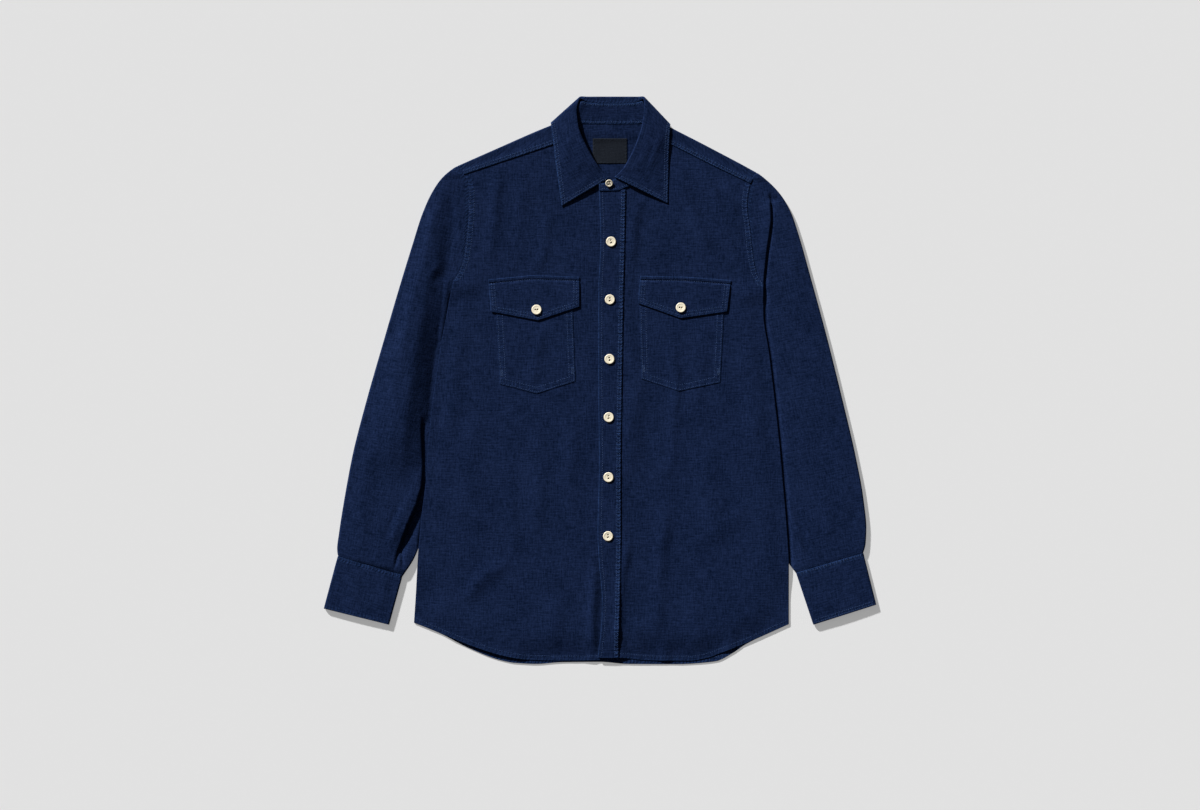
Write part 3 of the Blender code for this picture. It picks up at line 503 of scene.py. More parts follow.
def thread_material(name, dark, light):
    """Twisted sewing thread: slanting plies, a sine of the way along the stitch plus the way round
    it, with painted shade darkening the grooves between them."""
    made, tree, shader = new_material(name)
    split = node(tree, "SeparateXYZ", node(tree, "UVMap", uv_map="thread").outputs["UV"])
    slant = math(tree, "MULTIPLY_ADD", split.outputs[0], 9.0, split.outputs[1])
    ply = math(tree, "SINE", math(tree, "MULTIPLY", slant, 2 * np.pi))
    spot = noise(tree, node(tree, "TexCoord").outputs["Object"], (300, 300, 300))
    # painted shade: the colour is darker in the grooves between the plies, over spots of random tone
    shade = math(tree, "MULTIPLY_ADD", ply, 0.2, spot, clamp=True)
    tree.links.new(colour_mix(tree, shade, dark, light), shader.inputs["Base Color"])
    add_bump(tree, shader, ply, 0.05 * MM)
    set_values(shader, {"Roughness": 0.6, "Specular IOR Level": 0.3})
    return made


INDIGO_THREAD = thread_material("indigo_thread", (0.012, 0.030, 0.085), (0.040, 0.090, 0.235))


THREAD_DIP = -0.16          # where a stitch goes into the cloth


def smooth_mesh(name, vertices, faces):
    """A smooth mesh of points in millimetres and the corners of its faces."""
    mesh = bpy.data.meshes.new(name)
    mesh.from_pydata((vertices * MM).tolist(), [], faces)
    mesh.shade_smooth()
    return mesh


def read_line(line, at):
    """A line of points, read at lengths along it."""
    far = length_along(line[:, :3])
    return as_points(*(np.interp(at, far, column) for column in line.T))


def stitch(name, rows, lift=WALL / 2, pitch=3.2, length=2.5, width=0.55):
    """Lock stitches as one mesh. Each row is (line with normals, start, end), cut short by start and
    end millimetres. A stitch is a five-sided bead: two rings between two points, laid along the row
    and half sunk in the cloth."""
    turn = np.arange(5) * 2 * np.pi / 5
    ring = as_points(np.zeros(5), np.cos(turn) * width / 2, np.sin(turn) * width * 0.42)
    tip, shoulder = np.array((length / 2, 0, THREAD_DIP)), (length * 0.3, 0, 0)
    bead = np.concatenate([[tip * (-1, 1, 1)], ring - shoulder, ring + shoulder, [tip]])
    k, after = np.arange(5), (np.arange(5) + 1) % 5
    faces = np.concatenate([as_points(0 * k, 1 + k, 1 + after, 1 + after),
                            as_points(1 + k, 6 + k, 6 + after, 1 + after),
                            as_points(0 * k + 11, 6 + after, 6 + k, 6 + k)])
    places = []
    for line, start, end in rows:
        at = np.arange(start + pitch / 2, length_along(line[:, :3])[-1] - end, pitch)
        ahead = read_line(line, at + 0.7) - read_line(line, at - 0.7)
        places.append(np.concatenate([read_line(line, at), unit(ahead[:, :3])], axis=1))
    places = np.concatenate(places)
    up, way = places[:, None, 3:6], places[:, None, 6:9]
    vertices = (places[:, None, :3] + up * (lift + bead[:, 2:]) + way * bead[:, :1]
                + np.cross(up, way) * bead[:, 1:2]).reshape(-1, 3)
    quads = (faces[None] + 12 * np.arange(len(places))[:, None, None]).reshape(-1, 4)
    mesh = smooth_mesh(name, vertices, [tuple(dict.fromkeys(quad)) for quad in quads.tolist()])
    bead_uv = as_points(bead[:, 0] / length, bead[:, 1] / width)
    set_uv(mesh, "thread", np.tile(bead_uv, (len(places), 1)))
    add_piece(name, mesh, INDIGO_THREAD)


def hem_line(columns):
    """The line of a hem's edge."""
    x = np.linspace(columns["x"][0], columns["x"][-1], 60)
    return as_points(x, along(columns, "x", "y", x))


x, y = panel_points(lambda y: edge_x("right", y) + SHY, lambda y: edge_x("left", y) - SHY,
                    lambda x: along(YOKE_BACK, "x", "y", x) + LAP, lambda x: along(BACK_HEM, "x", "y", x),
                    spaced(500, 5.5, 12, 2), spaced(660, 5.2, 9, 1.5))
seam = seam_field(x, y, (hem_line(BACK_HEM), 3.5, 3.6, 0.8))
inside = ramp(np.minimum(inset("right", x, y), inset("left", x, y)), 4, 30)
in_yoke = ramp(y - along(YOKE_BACK, "x", "y", x), -5, 0.5)
z = (back_height(x, y) + (creases(BACK_CREASES, x, y) + 0.12 * (1 + swell(x, y))) * inside
     + 0.5 * seam_relief(seam) + (WALL + 0.1) * in_yoke)
back_grid = as_points(x, y, np.maximum(z, FLOOR_GAP + WALL / 2))
dress("back_panel", back_grid, "back", flat=(0.54, 0.68), area=0.32, seam=seam,
      rim=0.4 * rim_wear(back_grid, ("foot",)))
stitch("back_hem_stitching", [(beside(with_normals(back_grid), "foot", 6.3), 4, 4)], width=HEM_THREAD)


# Fronts ----------------------------------------------------------------------------------------
# The two fronts are panels of the same cloth. They lie on the back, are felled to the sleeves at the
# armholes and to the back at the sides, and are hemmed like it. The left one laps over the right.

FRONT_GAP = 3.5             # front above back, mid-surface to mid-surface
SIDE_GAP = 0.9              # and along the side seams
LAP_LIFT, LAP_SINK = 0.75, 0.2      # where they lap, the left front rises and the right one sinks
SIDE_RISE = {"right": (10, 50), "left": (8, 48)}     # insets between which it grows to the first
YOKE_CORNER = {"right": (-51.0, 340.0), "left": (84.0, 342.0)}      # where yoke seam and neck meet
# Seam between yoke and fronts, a little down the chest, and the front neck inside it.
FRONT_TOP = {
    "right": table("x y", (-203, 289), (-140, 310), (-70, 333.5), (-51, 340), (-47, 326),
                   (-38, 302), (-18, 283), (8, 273), (34, 271)),
    "left": table("x y", (-6, 271), (26, 273), (50, 283), (70, 302), (80, 326), (84, 342),
                  (100, 335), (160, 305), (223, 275)),
}
FRONT_HEM = {
    "right": table("x y", (-264, -343.5), (-219, -362), (-180, -377.5), (-137, -391),
                   (-104, -396.5), (-57, -398), (34, -396)),
    "left": table("x y", (-6, -395), (28, -394), (70, -397.5), (127, -398), (152, -394),
                  (174, -386), (206, -373.5), (268, -346)),
}
# Free edge of the placket (the left front laps over the right) and its sewn edge.
PLACKET = table("y free sewn",
                (-394, -3, 26), (-340, 2.5, 27), (-310, 3, 28), (-260, -1, 29), (-215, -3, 29.5),
                (-120, -1, 29.5), (0, -2, 31), (120, -2, 33), (200, 1, 35), (262, -1, 36))
# Height of the fronts over the back along their hem: they lie on it but for a few waves.
HEM_GAP = table("x gap", (-264, 0.85), (-226, 0.85), (-208, 2.6), (-165, 3.0), (-118, 2.4), (-98, 0.9),
                (-32, 0.9), (-8, 2.2), (12, 2.6), (28, 2.2), (42, 0.9), (78, 0.9), (92, 2.3), (106, 0.9),
                (168, 0.9), (184, 2.5), (200, 0.9), (268, 0.85))
FRONT_CREASES = [
    # the right front, from the shoulder to the tail
    (((-141, 312), (-150, 240), (-157, 150)), 10, 8, 1.5),
    (((-68, 250), (-78, 200), (-88, 146)), 9, 7, 1.2),
    (((-110, 318), (-112, 240), (-118, 160)), 12, 10, 0.7),
    (((-80, 84), (-90, 40), (-97, -24)), 9, 7, 1.1),
    (((-98, -14), (-45, -20)), 6, 5, 0.5),
    (((-50, 60), (-52, -60)), 12, 10, 0.7),
    (((-120, -258), (-160, -276), (-200, -316)), 12, 10, 1.6),
    (((-127, -150), (-121, -256)), 10, 8, 0.9),
    (((-9, -250), (-11, -330), (-8, -398)), 7, 5, 1.5),
    (((-60, -300), (-72, -398)), 14, 12, 0.9),
    (((-200, 90), (-212, -90)), 14, 14, 0.8),
    (((-176, -40), (-190, -200)), 16, 13, 1.0),
    (((-30, -20), (-44, -120), (-40, -230)), 13, 11, 0.8),
    (((-88, -40), (-84, -140), (-98, -240)), 13, 11, 0.9),
    (((-226, -150), (-196, -190), (-150, -210)), 12, 10, 0.8),
    # pleats in its edge beside the placket
    (((2, -246), (-12, -250)), 1.6, 1.4, 0.5),
    (((2, -257), (-14, -262)), 1.8, 1.4, 0.55),
    (((2, -268), (-11, -275)), 1.6, 1.4, 0.5),
    (((3, -281), (-12, -287)), 1.8, 1.5, 0.5),
    (((3, -295), (-9, -299)), 1.6, 1.4, 0.4),
    # the left front
    (((106, 308), (130, 240), (163, 180)), 9, 7, 1.5),
    (((132, 316), (160, 270), (196, 200)), 8, 6, 1.2),
    (((172, 286), (186, 250), (204, 196)), 7, 6, 1.0),
    (((53, 268), (45, 150)), 9, 7, 1.3),
    (((43, 96), (50, -10), (42, -150)), 11, 13, 1.6),
    (((97, 64), (108, 10), (104, -80), (98, -150)), 9, 7, 1.2),
    (((79, -72), (96, -144)), 9, 7, 1.0),
    (((93, -160), (84, -300), (76, -376)), 12, 9, 1.6),
    (((44, -218), (36, -257), (31, -290), (22, -390)), 8, 4, 1.7),
    (((150, -60), (168, -260)), 18, 14, 1.0),
    (((206, 60), (224, -120)), 16, 14, 0.9),
    (((130, -290), (138, -398)), 14, 12, 0.9),
    (((52, -330), (56, -396)), 9, 8, 0.8),
    (((150, 90), (138, 0), (146, -100)), 14, 11, 0.7),
    (((214, -160), (180, -210), (130, -236)), 13, 11, 0.7),
]


def front_height(x, y):
    """Mid-surface of the fronts and of the yoke's front strip, above the back."""
    gap = FRONT_GAP - 0.6 * collar_lift(x, y)
    for side, rise in SIDE_RISE.items():
        below_pit = ramp(-y, -PIT_Y[side] + 2, -PIT_Y[side] + 30)
        gap = gap - (FRONT_GAP - SIDE_GAP) * below_pit * (1 - ramp(inset(side, x, y), *rise))
    hem_right, hem_left = (along(FRONT_HEM[side], "x", "y", x) for side in ("right", "left"))
    from_hem = y - np.where(x < 12, hem_right, hem_left)
    gap = mix(along(HEM_GAP, "x", "gap", x), gap, ramp(from_hem, 3, 42))
    inside = (ramp(np.minimum(inset("right", x, y), inset("left", x, y)), 2, 24)
              * (0.25 + 0.75 * ramp(from_hem, 0, 20)))
    return back_height(x, y) + gap + (1.2 * creases(FRONT_CREASES, x, y) + 0.22 * swell(x, y)) * inside


# The right front sinks in beside the placket's foot.
FOOT_HOLLOW = [(((0, -245), (4.5, -272), (5, -288), (1.5, -322), (-0.5, -345), (-1.5, -430)),
                5, 40, -1.3)]


def lap(x, y):
    """1 where the two fronts lap over each other under the placket, falling to 0 outside it."""
    free, sewn = (along(PLACKET, "y", name, y) for name in ("free", "sewn"))
    return ramp(x, free - 14, free - 3) * (1 - ramp(x, sewn + 3, sewn + 20))


def outer_front_height(x, y):
    """Mid-surface of what shows of the fronts: the left one is on top where they lap."""
    return front_height(x, y) + LAP_LIFT * lap(x, y)


def armhole_line(side):
    """The armhole's edge of the body, from the shoulder down to the armpit."""
    y = np.linspace(EDGE[side]["y"][-1], PIT_Y[side] + 4, 40)
    return as_points(edge_x(side, y), y)


IN_PLACKET = 1.2            # the left front's edge lies this far inside the placket's fold
FRONT_CUT = {"right": dict(flat=(0.30, 0.71), area=0.18), "left": dict(flat=(0.29, 0.70), area=0.17)}

for side in ("right", "left"):
    if side == "right":
        sides = (lambda y: edge_x("right", y) + SHY, lambda y: along(PLACKET, "y", "sewn", y))
    else:
        sides = (lambda y: along(PLACKET, "y", "free", y) + IN_PLACKET, lambda y: edge_x("left", y) - SHY)

    def top(x):
        """The front's top edge runs on under the yoke, but not at the neck."""
        from_neck = (x - YOKE_CORNER[side][0]) * (-1 if side == "right" else 1)
        return along(FRONT_TOP[side], "x", "y", x) + LAP * ramp(from_neck, 0, 5)

    x, y = panel_points(*sides, top, lambda x: along(FRONT_HEM[side], "x", "y", x), spaced(255, 2.9),
                        spaced(650, 2.9))
    seam = seam_field(x, y, (armhole_line(side), 3.4, 3.8, 0.55), (hem_line(FRONT_HEM[side]), 3.4, 3.6, 0.3))
    if side == "right":
        height = front_height(x, y) - LAP_SINK * lap(x, y) + creases(FOOT_HOLLOW, x, y)
    else:
        height = outer_front_height(x, y)
    grid = as_points(x, y, height + seam_relief(seam))
    dress(f"front_panel_{side}", grid, f"front_{side}", **FRONT_CUT[side], rests_on=["back_panel"],
          seam=seam, rim=0.25 * rim_wear(grid, ("foot",)))
    lined = with_normals(grid)
    stitch(f"front_hem_stitching_{side}", [(beside(lined, "foot", 6.4), 4, 4)], width=HEM_THREAD)
    sleeve_edge = "start" if side == "right" else "end"
    rows = [beside(lined, sleeve_edge, gap) for gap in (1.6, 7.4)]
    rows = [row[(row[:, 1] > PIT_Y[side]) & (row[:, 1] < 274)] for row in rows]
    stitch(f"armhole_stitching_{side}", [(row, 0, 0) for row in rows])


# Pockets ---------------------------------------------------------------------------------------
# The two chest pockets are patches with pointed feet. Their edges are turned in and sewn to the
# fronts with two rows of stitches, and their mouths lie open under the flaps.

POCKETS = {   # mouth corners, then the lower corners and the point between them
    "right": (((-149, 134), (-40, 134)), ((-142, -5.5), (-90, -19), (-35, -1.5))),
    "left": (((55.5, 134), (177.5, 134)), ((59, 2), (112, -15.5), (170.5, -3))),
}
POCKET_ROWS = (1.8, 8.6)    # its rows of stitches, in from the edge
POCKET_AREA = {"right": 0.0166, "left": 0.0157}
POCKET_WALL = 0.45
POCKET_LIFT = 0.62          # mid-surface over the front's


def patch_plan(upper, lower, down, across):
    """Plan points of a patch between an upper and a lower line of corners."""
    def line(corners):
        corners = np.array(corners, float)
        knots = np.linspace(0, 1, len(corners))
        return as_points(*(np.interp(across, knots, column) for column in corners.T))

    plan = mix(line(upper)[None], line(lower)[None], down[:, None, None])
    return plan[..., 0], plan[..., 1]


def outline_of(x, y, edges):
    """The named borders of a grid in plan, as one line each."""
    plan = as_points(x, y)
    return [facing_edge(plan, edge)[0] for edge in edges]


for side, (mouth, foot) in POCKETS.items():
    x, y = patch_plan(mouth, foot, spaced(142, 2.4), spaced(115, 2.4))
    sewn = ("start", "foot", "end")
    seam = seam_field(x, y, *((line[::3], 5.2, 4.6, 0.25) for line in outline_of(x, y, sewn)))
    grid = as_points(x, y, outer_front_height(x, y) + POCKET_LIFT + 0.5 * seam_relief(seam, 0.1, 0.5))
    dress(f"chest_pocket_{side}", grid, f"pocket_{side}", flat=(0.122, 0.153), area=POCKET_AREA[side],
          wall=POCKET_WALL, rests_on=[f"front_panel_{side}"], seam=seam, rim=0.10 * rim_wear(grid, sewn))
    lined = with_normals(grid)
    stitch(f"pocket_stitching_{side}", [(beside(lined, edge, gap), gap if edge == "foot" else 0, gap)
                                        for edge in sewn for gap in POCKET_ROWS], lift=0.2)
    # bar tacks across the lower corners
    tacks = [(beside(lined, corner, 1.8 + 1.1 * k)[-16:-10], 0, 0)
             for corner in ("start", "end") for k in range(4)]
    stitch(f"pocket_tacks_{side}", tacks, lift=0.25, pitch=1.6, length=1.7, width=0.7)


# Flaps -----------------------------------------------------------------------------------------
# The two pocket flaps are doubled cloth, turned and topstitched in two rows. They are sewn down
# along their upper edges, over the pockets' mouths, and buttoned at the point.

FLAPS = {     # sewn edge in three points, free edge in three with the buttoned point in the middle
    "right": (((-158, 142.5), (-98, 148.5), (-29.5, 146.5)), ((-154.5, 97.5), (-88, 85), (-29.5, 104.5))),
    "left": (((57.5, 147.5), (120, 146.5), (185.5, 141.5)), ((54, 109.5), (114.5, 88), (180, 97.5))),
}
FLAP_AREA = {"right": 0.0064, "left": 0.0068}
FLAP_WALL = 1.0
FLAP_DEPTH = 55.0
FLAP_GROOVE = 5.6           # the row that sews the flap down, below its upper edge


def flap_rise(from_top):
    """Height of a flap's mid-surface over the front: pressed down along its sewn edge with a groove
    at the row of stitches, and lifted by the pocket below it."""
    down = from_top / FLAP_DEPTH
    return (1.2 + 0.55 * down + 0.2 * np.sin(np.pi * np.clip(down, 0, 1)) ** 2
            - 0.85 * np.exp(-((from_top - FLAP_GROOVE) / 1.2) ** 2))


for side, (sewn, free) in FLAPS.items():
    x, y = patch_plan(sewn, free, spaced(52, 1.7, 10, 1.0), spaced(130, 2.0))
    top, *edges = outline_of(x, y, ("top", "start", "foot", "end"))
    from_top, _, _ = near_line(x, y, top[::3])
    seam = seam_field(x, y, (top[::3], 1.2, 1.4, 0.2), *((line[::3], 4.6, 4.4, 0.3) for line in edges))
    grid = as_points(x, y, outer_front_height(x, y) + flap_rise(from_top)
                     + 0.6 * seam_relief(seam))
    dress(f"pocket_flap_{side}", grid, f"flap_{side}", flat=(0.131, 0.064), area=FLAP_AREA[side],
          wall=FLAP_WALL, rests_on=[f"chest_pocket_{side}", f"front_panel_{side}"], seam=seam,
          rim=0.16 * rim_wear(grid, ("top", "start", "foot", "end")))
    lined = with_normals(grid)
    flap_rows = [(beside(lined, edge, gap), gap if edge == "foot" else FLAP_GROOVE, gap)
                 for edge in ("start", "foot", "end") for gap in (3.6, 7.6)]
    stitch(f"flap_stitching_{side}", flap_rows + [(beside(lined, "top", FLAP_GROOVE), 2, 2)],
           lift=FLAP_WALL / 2)


# Placket ---------------------------------------------------------------------------------------
# The placket is the doubled strip on the left front's free edge that carries the buttonholes. It is
# turned in at both edges and sewn down along each with stitches that pucker it.

PLACKET_WALL = 1.0
PLACKET_LIFT = 0.98         # mid-surface over the left front's
PLACKET_TOP, PLACKET_LENGTH = 270.0, 663.6


def placket_height(x, y):
    """Mid-surface of the placket, on top of the left front."""
    return outer_front_height(x, y) + PLACKET_LIFT


y = PLACKET_TOP - PLACKET_LENGTH * spaced(664, 2.0, 9, 1.0)
free, sewn = (along(PLACKET, "y", name, y) for name in ("free", "sewn"))
x = mix(free[:, None], sewn[:, None], spaced(31, 1.5, 8, 1.0)[None, :])
y = np.broadcast_to(y[:, None], x.shape)
edge_free, edge_sewn = outline_of(x, y, ("start", "end"))
seam = seam_field(x, y, (edge_free[::4], 2.4, 2.4, 0.15), (edge_sewn[::4], 2.9, 2.9, 1.0))
grid = as_points(x, y, placket_height(x, y) + seam_relief(seam, 0.1, 0.35))
dress("button_placket", grid, "placket", flat=(0.034, 0.664), area=0.021, wall=PLACKET_WALL,
      rests_on=["front_panel_left", "front_panel_right"], seam=seam,
      rim=0.2 * rim_wear(grid, ("start", "foot")))
lined = with_normals(grid)
stitch("placket_stitching", [(beside(lined, edge, gap), 3, 3)
                             for edge, gap in (("start", 4.6), ("end", 1.8), ("end", 5.4))],
       lift=PLACKET_WALL / 2)


# Yoke ------------------------------------------------------------------------------------------
# The yoke is one panel across the upper back that rolls over both shoulders to a narrow strip on
# each front. Its edges are turned in and topstitched over the back and the fronts.

# Shoulder fold, with the curved back neck between the two shoulder points.
SHOULDER = table("x y",
                 (-203, 303.5), (-150, 327), (-100, 349), (-68, 362.5), (-45.5, 371.5),
                 (-28, 368.5), (16.5, 367.5), (61, 368.5), (78, 371), (98, 360),
                 (150, 333), (190, 312), (223, 294))
SHOULDER_POINT = {"right": (-45.5, 371.5), "left": (78.0, 371.0)}   # where shoulder and neck meet
SHOULDER_ENDS = (-203.0, 223.0)
COLLAR_MIDDLE_X = 16.5

neck_right, neck_left = SHOULDER_POINT["right"][0], SHOULDER_POINT["left"][0]
columns = np.concatenate([mix(SHOULDER_ENDS[0], neck_right, spaced(158, 2.6)),
                          np.linspace(neck_right, neck_left, 42)[1:-1],
                          mix(neck_left, SHOULDER_ENDS[1], spaced(145, 2.6))])
fold_inset = FRONT_GAP / 2 + WALL / 2
x, y = panel_points(lambda y: edge_x("right", y) + SHY, lambda y: edge_x("left", y) - SHY,
                    lambda x: along(SHOULDER, "x", "y", x) - fold_inset,
                    lambda x: along(YOKE_BACK, "x", "y", x),
                    (columns - SHOULDER_ENDS[0]) / (SHOULDER_ENDS[1] - SHOULDER_ENDS[0]),
                    1 - spaced(90, 3.6, 8, 1.6))
rows = list(as_points(x, y, back_height(x, y)))
flat_rows, top_x, top_y = len(rows), x[-1], y[-1]


def strip_height(x, y, below):
    """The front strip's mid-surface: it climbs over the front's top edge towards the seam."""
    return front_height(x, y) + mix(0.25, 0.85, below)


low, high = back_height(top_x, top_y), strip_height(top_x, top_y, 0)
radius = (high - low) / 2
for turn in np.linspace(0, np.pi, 12)[1:-1]:
    rows.append(as_points(top_x, top_y + radius * np.sin(turn), low + radius * (1 - np.cos(turn))))


def strip_limits(wanted_x, strip_y):
    """A strip's point, kept between the armhole and the neck's side. Past them it goes on at a
    fiftieth of its way, so that no two columns meet."""
    limits = [mix(SHOULDER_POINT[side][0], YOKE_CORNER[side][0],
                  (SHOULDER_POINT[side][1] - strip_y) / (SHOULDER_POINT[side][1] - YOKE_CORNER[side][1]))
              for side in ("right", "left")]
    on_right = columns < COLLAR_MIDDLE_X
    low = np.where(on_right, edge_x("right", strip_y) + SHY, limits[1])
    high = np.where(on_right, limits[0], edge_x("left", strip_y) - SHY)
    kept = np.clip(wanted_x, low, high)
    return kept + 0.02 * (wanted_x - kept)


seam_x, seam_y = top_x, top_y - 25
for _ in range(20):
    seam_x = strip_limits(top_x, seam_y)
    seam_y = np.where(seam_x < COLLAR_MIDDLE_X, along(FRONT_TOP["right"], "x", "y", seam_x),
                      along(FRONT_TOP["left"], "x", "y", seam_x))
for share in spaced(24, 1.3, 5, 1.0):
    strip_y = mix(top_y, seam_y, share)
    strip_x = strip_limits(mix(top_x, seam_x, share), strip_y)
    rows.append(as_points(strip_x, strip_y, strip_height(strip_x, strip_y, ramp(share, 0.35, 0.8))))
grid = np.array(rows)
on_front = np.arange(len(rows))[:, None] > flat_rows + 5
right_seam = as_points(seam_x, seam_y)[columns <= neck_right]
left_seam = as_points(seam_x, seam_y)[columns >= neck_left]
seam = seam_field(grid[..., 0], grid[..., 1], (right_seam, 3.0, 3.0, 0.6), (left_seam, 3.0, 3.0, 0.6),
                  (armhole_line("right"), 5.4, 4.6, 0.5), (armhole_line("left"), 5.4, 4.6, 0.5))
seam = np.where(on_front[..., None], seam, NO_SEAM)
grid[..., 2] += seam_relief(seam, 0.15, 0.32)
faces = grid_faces(*grid.shape[:2])
row, column = faces[:, 0] // len(columns), faces[:, 0] % len(columns)
on_shoulder = (columns[column + 1] <= neck_right + 0.01) | (columns[column] >= neck_left - 0.01)
faces = faces[(row < flat_rows - 1) | on_shoulder]
used = np.unique(faces)
place = as_points(grid[..., 0], length_along(grid)).reshape(-1, 2)
dress("yoke_panel", grid.reshape(-1, 3)[used], "yoke", flat=(0.46, 0.16), area=0.038,
      rests_on=["back_panel", "front_panel_right", "front_panel_left"], seam=seam.reshape(-1, 3)[used],
      rim=0.35 * rim_wear(grid, ("foot",)).ravel()[used], faces=np.searchsorted(used, faces),
      place=place[used])
lined = with_normals(grid)
strips = [lined[:, columns <= neck_right], lined[:, columns >= neck_left]]
stitch("yoke_stitching", [(beside(strip, "foot", gap), 2, 1) for strip in strips for gap in (1.6, 5.2)])


# Collar band -----------------------------------------------------------------------------------
# The band is the collar's stand: a stiffened strip sewn round the neck, with its left end lapped
# over its right one and buttoned.

# Each rib has the roll line, the leaf's outer edge, the way the leaf faces (0 is up, 90 is out from
# the neck, 180 is down) and the band's lower edge, from the right front round to the left front.
COLLAR_RIBS = table("roll_x roll_y roll_z edge_x edge_y edge_z facing neck_x neck_y neck_z",
                    (12, 286.5, 4.3, -54, 247, 5.2, 0, 9, 272.6, 4.2),
                    (5.5, 292.5, 4.4, -56, 261.5, 5.2, 0, -12, 278.5, 4.2),
                    (-3, 304, 5.2, -58, 276, 5.2, 0, -33, 294, 4.5),
                    (-19.5, 332, 6.0, -63, 312, 5.5, 0, -48, 321, 5.1),
                    (-30.5, 360, 5.2, -66.5, 343, 5.7, 0, -52.5, 343, 5.1),
                    (-33, 382, 4.5, -68, 354, 5.7, 8, -48, 357, 4.9),
                    (-29.5, 395, 4.3, -69, 362, 5.6, 38, -43, 366, 4.5),
                    (-26.5, 400, 4.1, -69.6, 365.2, 3.3, 90, -42, 368.5, 4.0),
                    (-23, 401.5, 4.1, -66, 362, 0.95, 142, -38, 367, 3.2),
                    (-16, 402, 3.6, -55, 358, 0.8, 178, -28, 365, 2.5),
                    (0, 402.1, 3.5, -16, 357, 0.8, 180, -8, 364, 2.2),
                    (16.5, 402.1, 3.5, 16.5, 357, 0.8, 180, 16.5, 364, 2.2),
                    (33, 402.1, 3.5, 48, 357, 0.8, 180, 41, 364, 2.2),
                    (50, 402, 3.6, 84, 357.5, 0.8, 178, 61, 365, 2.5),
                    (58, 401.5, 4.1, 96, 360, 0.95, 142, 71, 367, 3.2),
                    (60, 400, 4.9, 99.6, 363, 3.6, 90, 75, 368.5, 4.8),
                    (62, 396, 5.8, 99.2, 360, 7.0, 38, 76, 366, 5.6),
                    (63, 384, 6.3, 98.6, 352, 7.4, 8, 81, 357, 6.4),
                    (60, 362, 6.3, 98, 341, 6.9, 0, 85.5, 344, 6.0),
                    (48, 328, 5.9, 97, 312, 5.5, 0, 80.5, 320, 5.2),
                    (33, 300, 5.7, 96.5, 280, 4.9, 0, 68, 298, 4.9),
                    (27, 293.5, 6.0, 96, 265, 4.9, 0, 49, 280, 5.6),
                    (21, 288, 6.3, 96, 251, 5.0, 0, 26, 269.3, 6.7))
COLLAR_RIB_COUNT = 210
ROLL_RADIUS = table("rib radius", (0, 0.8), (1.5, 0.9), (3, 1.8), (4, 1.6), (5.5, 1.1), (8, 1.5), (15, 1.5),
                    (17, 1.5), (19, 1.7), (20.5, 1.0), (22, 1.0))
BAND_WALL = 1.0
LIP = 1.6                    # how far the leaf runs on below the roll to the band, on the fronts
BACK_LIP = 8.0               # and at the back neck
# The band's ends beyond the leaf: the left one, on top, carries the buttonhole.
BAND_RIGHT_END = table("neck_x neck_y neck_z top_x top_y top_z",
                       (23, 273.4, 4.3, 22, 280, 4.4), (17, 272.6, 4.3, 13, 280.5, 4.4))
BAND_LEFT_END = table("neck_x neck_y neck_z top_x top_y top_z",
                      (10, 269, 6.6, 9, 279.8, 6.7), (-1, 269, 6.5, -1, 278, 6.6))
BAND_END_POINTS = 12         # columns of each end


def spread_rows(columns, count):
    """A table read at `count` even places along its rows, as {name: array}."""
    rows = np.arange(len(next(iter(columns.values()))), dtype=float)
    at = np.linspace(0, rows[-1], count)
    return {name: smooth_line(at, rows, values) for name, values in columns.items()}


def points_of(columns, name):
    """The x, y and z columns of a named point of a table."""
    return as_points(*(columns[name + axis] for axis in ("_x", "_y", "_z")))


rib = spread_rows(COLLAR_RIBS, COLLAR_RIB_COUNT)
facing = np.radians(rib["facing"])[:, None]
roll, leaf_edge = points_of(rib, "roll"), points_of(rib, "edge")
leaf_way = unit((leaf_edge - roll) * (1, 1, 0))
aside = as_points(leaf_way[:, 1], -leaf_way[:, 0], 0 * leaf_way[:, 0])
aside = aside * np.where(rib["roll_x"] < COLLAR_MIDDLE_X, 1, -1)[:, None]
leaf_face = aside * np.sin(facing) + np.array([0, 0, 1]) * np.cos(facing)
on_roll = unit(np.gradient(roll, axis=0) * (1, 1, 0))
square = unit(leaf_way - on_roll * (leaf_way * on_roll).sum(axis=1, keepdims=True))
# the lip's way: square to the roll, and along the leaf at the side folds
lip_way = unit(mix(square, leaf_way, np.sin(facing)))
turned, folded = (1 - np.cos(facing)) / 2, np.sqrt(np.maximum(np.sin(facing), 0))
roll_radius = along(ROLL_RADIUS, "rib", "radius", np.linspace(0, 22, COLLAR_RIB_COUNT))[:, None]
lip = mix(mix(LIP, BACK_LIP, turned), 0.3, folded)

neck = points_of(rib, "neck")
down = unit(neck - roll)
top = roll + mix(lip_way, down, folded) * (roll_radius + lip + mix(0.3, 3.0, folded))
top = top - leaf_face * 1.9 * folded
right_end, left_end = (spread_rows(end, BAND_END_POINTS) for end in (BAND_RIGHT_END, BAND_LEFT_END))
neck, top = (np.concatenate([points_of(right_end, name), middle, points_of(left_end, name)])
             for name, middle in (("neck", neck), ("top", top)))
points = mix(neck[:, None, :], top[:, None, :], spaced(30, 1.6, 7, 1.2)[None, :, None])
x, y = points[..., 0], points[..., 1]
around = length_along(mix(neck, top, 0.5))
round_neck = np.broadcast_to(around[:, None], x.shape)
from_neck = np.linalg.norm(points - neck[:, None], axis=-1)
from_top = np.linalg.norm(points - top[:, None], axis=-1)
from_seam = np.minimum(np.abs(from_neck - 2.6) / 2.4, np.abs(from_top - 2.0) / 2.0)
seam = as_points(round_neck, from_seam, np.full(x.shape, 0.5))
lined = with_normals(points)
lined[..., :3] += lined[..., 3:] * seam_relief(seam, 0.05, 0.3)[..., None]
